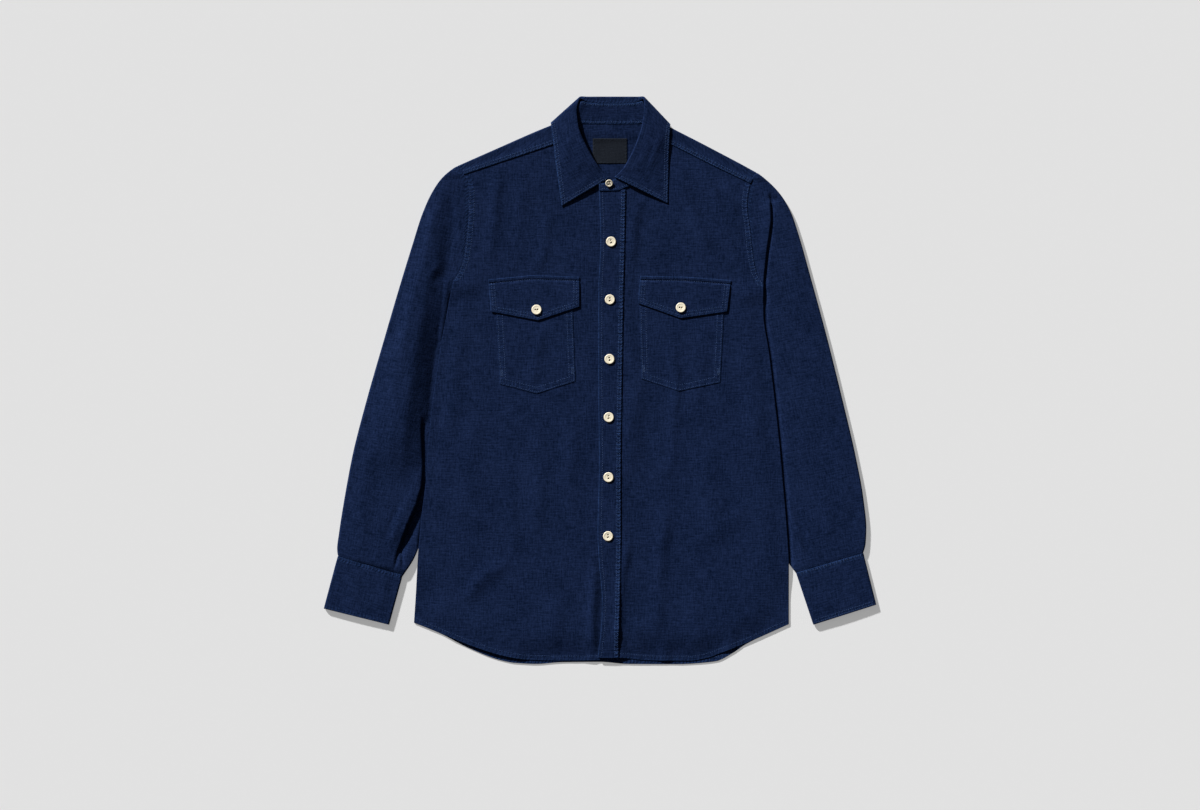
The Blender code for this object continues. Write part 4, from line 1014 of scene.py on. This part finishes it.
dress("collar_stand", lined[..., :3], "collar_band", flat=(0.41, 0.035), area=0.0085, wall=BAND_WALL,
      rests_on=["yoke_panel", "front_panel_right", "front_panel_left"], seam=seam,
      rim=0.30 * rim_wear(points, ("start", "end")), place=as_points(round_neck, from_neck))
outer_side = lined * (1, 1, 1, -1, -1, -1)
stitch("collar_stand_stitching", [(beside(cloth, edge, gap), 3, 3) for cloth in (lined, outer_side)
                                  for edge, gap in (("start", 2.4), ("end", 2.0))], lift=BAND_WALL / 2)


# Collar leaf -----------------------------------------------------------------------------------
# The leaf is doubled cloth sewn to the band's upper edge. It rolls over and falls to a pointed free
# edge with two rows of topstitching. At the back of the neck it is folded under the yoke.

LEAF_WALL = 1.0
LEAF_CREASES = [(((90, 354), (82, 334), (74, 312), (70, 296)), 3.5, 6, 0.7),
                (((70, 350), (66, 326), (52, 303), (38, 296)), 4, 6, 0.6),
                (((-36, 356), (-46, 330), (-54, 300)), 6, 5, 0.5),
                (((-20, 318), (-34, 300), (-44, 290)), 5, 5, 0.45),
                (((-6, 296), (-30, 276), (-46, 268)), 5, 6, 0.4),
                (((78, 290), (84, 268)), 6, 5, 0.5)]

section = [roll + lip_way * (roll_radius + lip * (1 - share))
           for share in spaced(9, 1.6, 3, 1)[:, None, None]]
for bend in np.linspace(0, np.pi, 13)[1:]:
    inward = lip_way if bend < np.pi / 2 else leaf_way
    section.append(roll + roll_radius * (inward * (1 - np.sin(bend)) + leaf_face * (1 - np.cos(bend))))
fall = section[-1]
for share in spaced(46, 1.7, 8, 1.1)[1:]:
    loft = 0.8 * np.sin(np.pi * share) * np.maximum(leaf_face[:, 2:], 0)
    section.append(mix(fall, leaf_edge, share) + leaf_face * loft)
points = np.stack(section, axis=1)
lined = with_normals(points)
from_first, length_out = length_along(points), length_along(points, axis=1)
from_last, from_free = from_first[-1:] - from_first, length_out[:, -1:] - length_out
gap = np.minimum(from_free, np.minimum(from_first, from_last))
way = np.where(from_free <= gap, from_first, length_out)
seam = as_points(way, np.abs(gap - 2.7) / 3.0, np.full(gap.shape, 0.4))
on_lip = (np.abs(length_out - 2.6) < 4) & (turned > 0.3)
seam[on_lip] = as_points(from_first, np.abs(length_out - 2.6) / 2.2, 0 * gap + 0.5)[on_lip]
relief = (0.6 * seam_relief(seam, 0.1, 0.3) * (facing < 1.7)
          + creases(LEAF_CREASES, points[..., 0], points[..., 1]) * (facing < 0.3))
lined[..., :3] += lined[..., 3:] * relief[..., None]
on_leaf = around[BAND_END_POINTS:-BAND_END_POINTS, None]
dress("collar_leaf_cloth", lined[..., :3], "collar_leaf", flat=(0.43, 0.065), area=0.0205, wall=LEAF_WALL,
      rests_on=["yoke_panel", "collar_stand"], seam=seam, rim=0.34 * rim_wear(points, ("top", "foot", "end")),
      place=as_points(np.broadcast_to(on_leaf, gap.shape), length_out))
leaf_rows = [(beside(lined, edge, gap), 0 if edge == "end" else 9, gap)
             for edge in ("top", "foot", "end") for gap in (1.8, 5.5)]
stitch("collar_leaf_stitching", leaf_rows, lift=LEAF_WALL / 2)


# Label -----------------------------------------------------------------------------------------
# The label is a plain woven patch of dark cloth, folded in at its ends and sewn inside the back of
# the neck along its edge. It carries nothing.

LABEL = dict(left=-10, right=38, bottom=308, top=343)
LABEL_WALL = 0.5
LABEL_LIFT = 0.75           # mid-surface over the yoke's
LABEL_CLOTH = cloth_material("label_cloth", (0.0075, 0.0095, 0.014), (0.0135, 0.017, 0.024),
                             (0.030, 0.036, 0.048), slub=0.7, roughness=0.75)

x, y = np.meshgrid(mix(LABEL["left"], LABEL["right"], spaced(48, 1.5, 5, 1)),
                   mix(LABEL["top"], LABEL["bottom"], spaced(35, 1.5, 5, 1)))
edges = ("top", "start", "foot", "end")
seam = seam_field(x, y, *((line, 1.4, 1.2, 0.25) for line in outline_of(x, y, edges)))
grid = as_points(x, y, back_height(x, y) + LABEL_LIFT + 0.5 * seam_relief(seam, 0.1, 0.3)
                 + 0.25 * np.sin(x / 9 + 1) * np.sin(y / 11))
dress("neck_label", grid, "label", flat=(0.048, 0.035), area=0.00168, wall=LABEL_WALL,
      rests_on=["yoke_panel"], seam=seam, rim=0.24 * rim_wear(grid, edges), material=LABEL_CLOTH,
      slot="label_ink")


# Sleeves ---------------------------------------------------------------------------------------
# Each sleeve is one piece of cloth, felled into a tube along its underarm and set into the armhole.
# It lies flattened beside the body, with its inner edge tucked in under the body's side.

# Sleeve rings, armhole to cuff: height of the ring's armpit-side end and how far it is tucked in
# under the body there, outer end, and how much of the armhole's curve and height the ring still has.
SLEEVE_RINGS = {
    "right": table("inner_y tuck outer_x outer_y armhole",
                   (141, -0.4, -203, 304, 1.0), (137, 0.5, -213, 297, 0.85),
                   (132, 0.5, -225, 286, 0.6), (125, 0.5, -238.5, 266, 0.35),
                   (117, 0.5, -252, 236, 0.04), (84, 9, -267, 189, 0), (28, 12, -286, 127, 0),
                   (-28, 12, -308, 52, 0), (-85, 11, -331, -28, 0), (-142, 11, -351, -106, 0),
                   (-190, 9, -363, -170, 0), (-226, 3, -370, -214, 0), (-252, -5, -373, -238, 0),
                   (-276.5, -19, -372, -250, 0)),
    "left": table("inner_y tuck outer_x outer_y armhole",
                  (134, -0.4, 223, 294.5, 1.0), (130, 0.5, 234, 286, 0.85),
                  (125, 0.5, 246, 275, 0.6), (118, 0.5, 258, 261, 0.35),
                  (109, 0.5, 271, 238, 0.04), (76, 8, 282, 206, 0), (28, 10, 300, 142, 0),
                  (-28, 12, 321, 65, 0), (-85, 12, 342, -19, 0), (-142, 12, 362, -104, 0),
                  (-190, 11, 373, -162, 0), (-228, 9, 378, -208, 0), (-254, 3, 377, -231, 0),
                  (-274, -10.5, 373.5, -245.5, 0)),
}
SLEEVE_RING_COUNT = 176
LOWER_POINTS, FOLD_POINTS = 36, 9       # of a ring, along its lower layer and round each fold
FOLD_TOP = 4.6              # height of the upper layer at the sleeve's outer fold
# Height of a sleeve's upper layer by its distance out from the body's edge, above and near the cuff.
CROWN = {
    "right": table("out height near_cuff", (0, 1.65, 1.65), (2.6, 3.0, 3.2), (8, 4.8, 3.9), (20, 7.9, 5.6),
                   (38, 11.6, 6.8), (50, 11.8, 7.0), (70, 10.0, 6.6), (120, 7.8, 6.4)),
    "left": table("out height near_cuff", (0, 0.6, 0.5), (4.2, 0.7, 0.6), (6.0, 2.9, 2.9), (10.5, 3.6, 3.6),
                  (20, 4.2, 4.2), (60, 4.8, 4.8)),
}
UPPER_ARM_DROP = {"right": 2.2, "left": 0.0}    # how much lower it lies up towards the shoulder
FOREARM_LOFT = {"right": 1.8, "left": 0.0}      # how much higher its outer fold lies down the arm
ARMHOLE_SINK = {"right": 0.75, "left": 0.3}     # how far it dips at the armhole's seam
LEAST_GAP = 0.95            # between its two layers, mid-surface to mid-surface
YOKE_END_Y = {"right": 288, "left": 284}        # where the yoke's front seam meets the armhole
SLANT = np.radians(12)      # the sleeves' lean away from the body
SLEEVE_CREASES = {
    "right": [(((-224, 278), (-213, 256), (-209, 220), (-214, 180), (-222, 136)), 18, 7, -2.0),
              (((-220, 160), (-229, 86), (-233, 0), (-239, -60), (-244, -104)), 20, 5, -2.9),
              (((-252, -118), (-253.5, -155), (-262.5, -182), (-275, -210), (-282, -236)), 15, 0.8, 2.4),
              (((-252, -50), (-251, -90), (-249, -122), (-250.5, -150), (-259.5, -180), (-272.5, -209),
                (-281, -234), (-289, -258)), 1.5, 10, -4.6),
              (((-268, -150), (-280, -190), (-300, -244)), 9, 6, 0.9),
              (((-283, -168), (-296, -205), (-311, -242)), 4, 5, -0.9),
              (((-284, -232), (-292, -270)), 1.6, 2.6, -1.6),
              (((-283, -230), (-279, -270)), 1.6, 2.6, -1.6),
              (((-252, 236), (-268, 150), (-280, 80)), 12, 10, 0.6),
              (((-290, 80), (-312, -20), (-322, -80)), 13, 10, 0.6),
              (((-318, -70), (-340, -180), (-346, -230)), 12, 9, 0.6),
              (((-268, 20), (-282, -90)), 10, 9, 0.5),
              (((-330, -190), (-338, -246)), 6, 5, 0.5)],
    "left": [(((240, 272), (243, 240), (243, 226), (236.8, 179), (232.5, 132), (231, 100)), 15, 1.0, 2.2),
             (((240, 276), (243, 244), (243, 226), (236.8, 179), (232.5, 132), (231, 100)), 1.0, 3.4, -2.6),
             (((234, 261), (243, 258), (256, 255)), 4, 5, -2.0),
             (((272, -176), (284, -210), (298, -258)), 2.6, 6, -1.3),
             (((262, 210), (278, 150), (290, 90)), 11, 10, 0.7),
             (((300, 80), (318, -10), (330, -70)), 12, 10, 0.6),
             (((330, -70), (350, -160), (354, -214)), 12, 9, 0.7),
             (((284, 0), (296, -110)), 10, 9, 0.4),
             (((318, -150), (326, -236)), 8, 7, 0.6),
             (((366, -190), (368, -234)), 5, 4, 0.6)],
}


def sleeve_points(side):
    """The sleeve as a flattened tube, ring by ring. A ring runs from the underarm seam out along the
    lower layer, round the outer fold, back along the upper layer, and round the tucked edge."""
    ring = spread_rows(SLEEVE_RINGS[side], SLEEVE_RING_COUNT)
    outward = -1 if side == "right" else 1
    sewn = ring["armhole"][:, None]
    from_first = np.arange(SLEEVE_RING_COUNT)[:, None]
    rim_in = 1.8 * np.exp(-from_first / 1.2)        # the first rings run in under the body
    sunk = np.exp(-from_first / 2.5)
    inner = as_points(edge_x(side, ring["inner_y"]) - outward * ring["tuck"], ring["inner_y"])
    outer = as_points(ring["outer_x"], ring["outer_y"])
    length = np.hypot(*(outer - inner).T)[:, None]
    way = (outer - inner) / length

    def plan_at(share):
        """Points along each ring, bowed as far as it still follows the armhole."""
        points = inner[:, None] + way[:, None] * (length * share)[..., None]
        x, y = points[..., 0], points[..., 1]
        from_armhole = mix((inner[:, 0] - edge_x(side, inner[:, 1]))[:, None],
                           (outer[:, 0] - edge_x(side, outer[:, 1]))[:, None], share)
        return mix(x, edge_x(side, y) + from_armhole, sewn) - outward * rim_in, y

    def lower_height(x, y):
        return mix(FLOOR_GAP + WALL / 2, back_height(x, y) + 0.8, sewn)

    def upper_height(x, y, from_outer):
        out = np.maximum(-inset(side, x, y), 0)
        above_cuff, near_cuff = (along(CROWN[side], "out", name, out) for name in ("height", "near_cuff"))
        level = mix(above_cuff, near_cuff, ramp(-y, 70, 150))
        level = level - UPPER_ARM_DROP[side] * ramp(y, 60, 160) * ramp(out, 4, 34)
        fold_top = FOLD_TOP + FOREARM_LOFT[side] * ramp(y, -190, -80) * (1 - ramp(y, 160, 260))
        level = mix(fold_top, level, ramp(from_outer, 0, 34))
        # above the armpit it leaves the armhole level with the front
        above = ramp(y, PIT_Y[side] - 12, PIT_Y[side] + 8) * (1 - ramp(out, 4, 40))
        by_yoke = 0.9 * ramp(y, YOKE_END_Y[side] - 2, YOKE_END_Y[side] + 2)
        at_armhole = front_height(x, y) + by_yoke - 0.1 - ARMHOLE_SINK[side] * sunk
        level = mix(level, at_armhole, np.maximum(sewn ** 0.7, above))
        soft = ramp(from_outer, 2, 18) * (1 - sewn ** 4)
        level = level + (creases(SLEEVE_CREASES[side], x, y) + 0.2 * swell(x, y) * ramp(out, 4, 20)) * soft
        return np.maximum(level, lower_height(x, y) + LEAST_GAP)

    one = np.ones((SLEEVE_RING_COUNT, 1))
    (x_in, y_in), (x_out, y_out) = plan_at(0 * one), plan_at(one)
    low_in, low_out = lower_height(x_in, y_in), lower_height(x_out, y_out)
    high_in, high_out = upper_height(x_in, y_in, length), upper_height(x_out, y_out, 0 * one)
    radius_in, radius_out = (high_in - low_in) / 2, (high_out - low_out) / 2
    first, last = (radius_in + WALL / 2) / length, 1 - (radius_out + WALL / 2) / length
    lower_x, lower_y = plan_at(mix(first, last, np.linspace(0, 1, LOWER_POINTS)))
    near_edge = np.concatenate([np.linspace(0, 0.14, 16)[:-1], np.linspace(0.14, 1, 56)])
    upper_x, upper_y = plan_at(mix(last, first, 1 - near_edge[::-1]))
    lower_z = lower_height(lower_x, lower_y) + 0 * lower_x
    upper_z = upper_height(upper_x, upper_y, np.hypot(upper_x - x_out, upper_y - y_out))

    def rolled(x, y, towards, radius, low, high, turn):
        """Section points round a rolled edge: `towards` is the way back into the piece."""
        back = radius * (1 - np.sin(turn)) + WALL / 2
        return as_points(x + towards[:, :1] * back, y + towards[:, 1:] * back,
                         mix(low, high, (1 - np.cos(turn)) / 2))

    turn = np.linspace(0, np.pi, FOLD_POINTS + 2)[1:-1]
    outer_fold = rolled(x_out, y_out, -way, radius_out, lower_z[:, -1:], upper_z[:, :1], turn)
    inner_fold = rolled(x_in, y_in, way, radius_in, lower_z[:, :1], upper_z[:, -1:], turn)
    points = np.concatenate([as_points(lower_x, lower_y, lower_z), outer_fold,
                             as_points(upper_x, upper_y, upper_z), inner_fold[:, ::-1]], axis=1)
    points = np.concatenate([points, points[:, :1] + (0, 0, 0.02)], axis=1)
    # the last rings narrow into the cuff and run on inside it
    inside = np.exp(-(SLEEVE_RING_COUNT - 1 - from_first) / 1.3)
    points[..., 2] = mix(points[..., 2], np.clip(points[..., 2], 1.7, 3.2), inside)
    middle = points[..., :2].mean(axis=1, keepdims=True)
    points[..., :2] = mix(points[..., :2], mix(points[..., :2], middle, 0.035), inside[..., None])
    points[..., 1] -= 2.5 * inside
    return points


for side in ("right", "left"):
    points = sleeve_points(side)
    round_ring, down_sleeve = length_along(points, axis=1), length_along(points)
    # the cloth's warp runs down the sleeve: the map is the plan, laid open at the outer fold
    outward = -1 if side == "right" else 1
    warp_way = np.array((outward * np.sin(SLANT), -np.cos(SLANT)))
    weft_way = np.array((-outward * np.cos(SLANT), -np.sin(SLANT)))
    step, along_warp = np.diff(round_ring, axis=1), np.diff(points[..., :2], axis=1) @ warp_way
    along_weft = np.sqrt(np.maximum(step ** 2 - along_warp ** 2, 0)).cumsum(axis=1)
    along_weft = np.concatenate([np.zeros((len(points), 1)), along_weft], axis=1)
    fold = LOWER_POINTS + FOLD_POINTS
    along_weft = along_weft - along_weft[:, fold:fold + 1] + points[:, fold:fold + 1, :2] @ weft_way
    from_cuff = down_sleeve[-1:] - down_sleeve
    by_armhole, by_cuff = (as_points(round_ring, off, np.full(off.shape, strength)) for off, strength in
                           ((np.abs(down_sleeve - 3.4) / 3.6, 0.45), (np.abs(from_cuff - 2) / 3.0, 0.35)))
    seam = np.where((from_cuff > 40)[..., None], by_armhole, by_cuff)
    points[..., 2] += 0.8 * seam_relief(seam, 0, 0.4) * ramp(from_cuff, 2.2, 4) * ramp(points[..., 2], 3.4, 4)
    dress(f"sleeve_tube_{side}", points, f"sleeve_{side}", flat=(0.40, 0.56), area=0.106,
          rests_on=["front_panel_" + side, "back_panel"], seam=seam,
          place=as_points(along_weft, points[..., :2] @ warp_way))


# Cuffs -----------------------------------------------------------------------------------------
# Each cuff is a doubled, stiffened band round the end of its sleeve, topstitched at both edges and
# pressed flat. Its buttoned lap is underneath and isn't seen.

CUFF_CORNERS = {             # seam inner, seam outer, hem inner, hem outer
    "right": ((-279.8, -276.4), (-372.3, -249.8), (-299, -346.5), (-392, -323.5)),
    "left": ((278.3, -273.8), (373.9, -245.4), (302.5, -346.5), (392, -318)),
}
CUFF_WALL = 1.2
CUFF_RADIUS = 1.75
CUFF_UPPER = slice(60, -8)   # the points of a ring on its upper side
CUFF_CREASES = {
    "right": [(((-300, -270), (-312, -330)), 7, 6, 0.5), (((-345, -262), (-352, -330)), 8, 7, 0.45)],
    "left": [(((306, -266), (326, -336)), 7, 6, 0.5), (((352, -258), (362, -320)), 7, 6, 0.4)],
}

for side, corners in CUFF_CORNERS.items():
    seam_in, seam_out, hem_in, hem_out = np.array(corners)
    down = spaced(75, 1.9, 10, 1.2)[:, None, None]
    inner, outer = mix(seam_in, hem_in, down), mix(seam_out, hem_out, down)
    way = unit(outer - inner)
    half = CUFF_WALL / 2
    reach = (CUFF_RADIUS + half) * way
    run = np.linspace(0, 1, 54)[None, :, None]
    flat = mix(inner + reach, outer - reach, run)
    turn = np.linspace(0, np.pi, 10)[1:-1][None, :, None]
    bulge = way * CUFF_RADIUS * np.sin(turn)
    height = np.broadcast_to(half + FLOOR_GAP + CUFF_RADIUS * (1 - np.cos(turn)), bulge.shape[:2] + (1,))
    level = np.full(flat.shape[:2] + (1,), half + FLOOR_GAP)
    crown = 0.5 * np.sin(np.pi * run) + creases(CUFF_CREASES[side], flat[..., 0], flat[..., 1])[..., None]
    points = np.concatenate([
        np.concatenate([flat, level], axis=-1), np.concatenate([outer - reach + bulge, height], axis=-1),
        np.concatenate([flat, level + 2 * CUFF_RADIUS + crown], axis=-1)[:, ::-1],
        np.concatenate([inner + reach - bulge, height], axis=-1)[:, ::-1]], axis=1)
    points = np.concatenate([points, points[:, :1] + (0, 0, 0.02)], axis=1)
    round_ring, down_cuff = length_along(points, axis=1), length_along(points)
    from_edge = np.minimum(down_cuff, down_cuff[-1:] - down_cuff)
    seam = as_points(round_ring, np.abs(from_edge - 2.8) / 2.8, np.where(down_cuff < 30, 0.7, 0.45))
    lined = with_normals(points)
    lined[..., 3:] *= -1        # they faced into the tube
    lined[..., :3] += lined[..., 3:] * (0.42 * seam_relief(seam, 0.05, 0.5) * (points[..., 2] > 1))[..., None]
    dress(f"cuff_band_{side}", lined[..., :3], f"cuff_{side}", flat=(0.20, 0.075), area=0.0145,
          wall=CUFF_WALL, rests_on=[f"sleeve_tube_{side}"], seam=seam,
          rim=0.2 * rim_wear(points, ("top", "foot")), place=as_points(round_ring, down_cuff))
    stitch(f"cuff_stitching_{side}", [(beside(lined[:, CUFF_UPPER], edge, gap), 2, 2)
                                      for edge, gap in (("top", 1.8), ("foot", 1.8), ("foot", 5.6))],
           lift=CUFF_WALL / 2)


# Buttons ---------------------------------------------------------------------------------------
# The buttons are turned shell, ivory with a raised rim and two holes, and sewn on through them with
# pale thread. Six close the placket, one the collar band, and one each flap.

FRONT_BUTTONS = table("x y", (15.6, 196.5), (14, 114.5), (13.4, 30), (12.4, -52.5),
                      (12, -137.5), (11.4, -221))
COLLAR_BUTTON = (12.8, 279.2)
COLLAR_BUTTON_BACK = 8.0    # height of its back, on the band's lapped ends
COLLAR_BUTTON_RADIUS = 5.2
FLAP_BUTTONS = {"right": (-90, 100), "left": (114.5, 103)}
BUTTON_RADIUS = 7.0
BUTTON_HEIGHT = 2.0
HOLE_RADIUS = 1.05
HOLE_GAP = {"placket": 3.8, "flap": 3.1}     # between the middles of the two holes


def ring_faces(rows, sides):
    """Quads between closed rings of points, ring by ring."""
    quads = grid_faces(rows, sides + 1)
    return quads // (sides + 1) * sides + quads % (sides + 1) % sides


def button_mesh(hole_gap, radius=BUTTON_RADIUS):
    """A turned button: a profile of radius and height swept round, dished inside its rim, closed at
    both poles, with a well sunk at each hole."""
    reach = radius * np.array((0.0, 0.30, 0.55, 0.68, 0.78, 0.88, 0.96, 1.0, 0.97, 0.86, 0.5, 0.0))
    height = BUTTON_HEIGHT * np.array((0.88, 0.88, 0.885, 0.93, 0.985, 1.0, 0.93, 0.66, 0.3, 0.04, 0.0, 0.0))
    at = np.concatenate([np.linspace(0, 2, 26), np.linspace(2, 11, 28)[1:]])[1:-1]
    r, z = (smooth_line(at, np.arange(12.0), values)[:, None] for values in (reach, height))
    turn = np.linspace(0, 2 * np.pi, 65)[None, :-1]
    x, y = r * np.cos(turn), r * np.sin(turn)
    to_hole = np.minimum(np.hypot(x, y - hole_gap / 2), np.hypot(x, y + hole_gap / 2))
    well = (1.4 * (1 - ramp(to_hole, 0.7 * HOLE_RADIUS, 1.2 * HOLE_RADIUS))
            + 0.12 * (1 - ramp(to_hole, HOLE_RADIUS, 1.7 * HOLE_RADIUS)))
    ripple = 0.05 * np.sin(3 * turn + 1) * ramp(r, 3, 6)
    z = z + np.where(at[:, None] < 4, ripple - well, 0)
    rows, sides = x.shape
    vertices = np.concatenate([[(0, 0, height[0])], as_points(x, y, z).reshape(-1, 3), [(0, 0, 0)]])
    first = 1 + np.arange(sides)
    last = first + (rows - 1) * sides
    caps = [(0, a, b) for a, b in zip(first.tolist(), np.roll(first, -1).tolist())]
    caps += [(len(vertices) - 1, b, a) for a, b in zip(last.tolist(), np.roll(last, -1).tolist())]
    return smooth_mesh("button", vertices, (ring_faces(rows, sides) + 1).tolist() + caps)


def button_thread_mesh(hole_gap):
    """Four strands between the two holes, each a bent tube: a circle swept along an arch."""
    along_strand = np.linspace(-1, 1, 13)[None, :, None]
    turn = np.linspace(0, 2 * np.pi, 9)[None, None, :-1]
    offset = np.array((-0.42, -0.14, 0.14, 0.42))[:, None, None]
    thick = 0.17
    y = along_strand * (hole_gap / 2 - 0.5) + 0 * turn + 0 * offset
    arch = BUTTON_HEIGHT * 0.88 + 0.2 - 1.5 * np.abs(along_strand) ** 5
    x = offset * (1 - 0.3 * along_strand ** 2) + thick * np.cos(turn)
    z = arch + thick * np.sin(turn) - 0.12 * np.abs(offset)
    strands = np.stack(np.broadcast_arrays(x, y, z), axis=-1)
    count, rows, sides = strands.shape[:3]
    starts = np.arange(count) * rows * sides
    quads = (starts[:, None, None] + ring_faces(rows, sides)[:, [0, 3, 2, 1]]).reshape(-1, 4)
    rim = np.arange(sides)
    ends = [end.tolist() for start in starts for end in (start + rim[::-1], start + (rows - 1) * sides + rim)]
    mesh = smooth_mesh("button_thread", strands.reshape(-1, 3), quads.tolist() + ends)
    set_uv(mesh, "thread", as_points(0 * x + along_strand, turn + 0 * x).reshape(-1, 2))
    return mesh


def shell_material():
    """Shell: ivory, clouded with cream, with a few small brown specks, and a polished surface."""
    made, tree, shader = new_material("shell_button")
    place = node(tree, "TexCoord").outputs["Object"]
    cloud = noise(tree, place, (160, 230, 160), 3.0, 0.55)
    spots = noise(tree, place, (700, 620, 700), 1.0, 0.4)
    speck = node(tree, "MapRange", spots, 0.66, 0.76, 0.0, 0.6).outputs[0]
    ivory = colour_mix(tree, cloud, (0.80, 0.70, 0.50), (0.93, 0.86, 0.70))
    tree.links.new(colour_mix(tree, speck, ivory, (0.30, 0.20, 0.10)), shader.inputs["Base Color"])
    rough = node(tree, "MapRange", cloud, 0.0, 1.0, 0.42, 0.26).outputs[0]
    tree.links.new(rough, shader.inputs["Roughness"])
    add_bump(tree, shader, cloud, 0.06 * MM)
    return made


SHELL = shell_material()
PALE_THREAD = thread_material("pale_thread", (0.42, 0.36, 0.26), (0.72, 0.64, 0.50))


def sew_button(name, cad_node, kind, x, y, under, tilt=(0.0, 0.0), turn=0.0, radius=BUTTON_RADIUS):
    """A button with its thread, its back at height `under`. The meshes are moved, so that the
    objects stay at the origin."""
    turned = (Matrix.Rotation(tilt[0], 4, "Y") @ Matrix.Rotation(-tilt[1], 4, "X")
              @ Matrix.Rotation(turn, 4, "Z"))
    place = Matrix.Translation((x * MM, y * MM, under * MM)) @ turned
    for part, mesh, material in (("", button_mesh(HOLE_GAP[kind], radius), SHELL),
                                 ("_thread", button_thread_mesh(HOLE_GAP[kind]), PALE_THREAD)):
        mesh.transform(place)
        piece = add_piece(name + part, mesh, material)
        if not part:
            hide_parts(cad_node)


def at(height, x, y):
    """A height function read at one place."""
    return float(height(np.array([[x]]), np.array([[y]]))[0, 0])


SHANK = -0.45                # the buttons press this far into the soft cloth
FLAP_POINT_LIFT = 1.85       # a flap's mid-surface over the front at its button
for n, (x, y) in enumerate(zip(*FRONT_BUTTONS.values()), start=1):
    sew_button(f"placket_button_{n}", f"button_front_{n}", "placket", x, y,
               at(placket_height, x, y) + PLACKET_WALL / 2 + SHANK,
               tilt=(0.03 * np.sin(2.1 * n), 0.03 * np.cos(1.7 * n)), turn=0.16 * np.sin(2.7 * n))
sew_button("collar_button", "button_collar", "placket", *COLLAR_BUTTON, COLLAR_BUTTON_BACK,
           tilt=(0.1, -0.2), turn=-0.5, radius=COLLAR_BUTTON_RADIUS)
for side, (x, y) in FLAP_BUTTONS.items():
    under = at(outer_front_height, x, y) + FLAP_POINT_LIFT + FLAP_WALL / 2 + SHANK
    sew_button(f"flap_button_{side}", f"button_flap_{side}", "flap", x, y, under, tilt=(0.02, 0.05),
               turn=np.pi / 2 + (0.1 if side == "right" else -0.12))


# Studio ----------------------------------------------------------------------------------------
# A pale board, softly lit from behind, under the shirt, a low light from its upper left with soft
# fill beside it, and a camera straight above.

FLOOR_HALF, FLOOR_Z = 4.0, -0.0003      # in metres
floor_mesh = bpy.data.meshes.new("floor")
floor_corners = [(x * FLOOR_HALF, y * FLOOR_HALF, FLOOR_Z) for x, y in ((-1, -1), (1, -1), (1, 1), (-1, 1))]
floor_mesh.from_pydata(floor_corners, [], [(0, 1, 2, 3)])
floor = bpy.data.objects.new("floor", floor_mesh)
bpy.context.scene.collection.objects.link(floor)
board, tree, shader = new_material("pale_board")
grain = noise(tree, node(tree, "TexCoord").outputs["Object"], (90, 90, 90), 3.0, 0.6)
paint = colour_mix(tree, grain, (0.468, 0.468, 0.468), (0.476, 0.476, 0.476))
tree.links.new(paint, shader.inputs["Base Color"])
set_values(shader, {"Roughness": 0.95, "Specular IOR Level": 0.0, "Emission Color": (1, 1, 1, 1),
                    "Emission Strength": 0.30})
floor_mesh.materials.append(board)

world = bpy.data.worlds.new("studio")
bpy.context.scene.world = world
world.use_nodes = True
WORLD_LIGHT, WORLD_SEEN = 0.04, 0.73            # what it lights with, and what the camera sees beyond that
tree, background = world.node_tree, world.node_tree.nodes["Background"]
background.inputs["Color"].default_value = (1, 1, 1, 1)
seen = node(tree, "LightPath").outputs["Is Camera Ray"]
backdrop = math(tree, "MULTIPLY_ADD", seen, WORLD_SEEN, WORLD_LIGHT)
tree.links.new(backdrop, background.inputs["Strength"])

# azimuth from +Y towards -X, elevation and width in degrees, and share of the board's light
for name, azimuth, elevation, width, share in (("key", 36, 20, 3, 0.86), ("fill", 36, 50, 60, 0.065)):
    light = bpy.data.objects.new(name, bpy.data.lights.new(name, "SUN"))
    light.data.energy = share * np.pi / np.sin(np.radians(elevation))
    light.data.angle = np.radians(width)
    light.rotation_euler = (np.radians(90 - elevation), 0, np.radians(180 + azimuth))
    bpy.context.scene.collection.objects.link(light)

camera = bpy.data.objects.new("camera", bpy.data.cameras.new("camera"))
CAMERA_Y, CAMERA_HEIGHT = -0.0351, 4.023        # in metres: the photograph's frame round the shirt
camera.data.lens = 85
camera.data.sensor_width = 36
camera.data.dof.use_dof = False
camera.location = (0, CAMERA_Y, CAMERA_HEIGHT)
bpy.context.scene.collection.objects.link(camera)
bpy.context.scene.camera = camera
bpy.context.scene.view_settings.view_transform = "Standard"
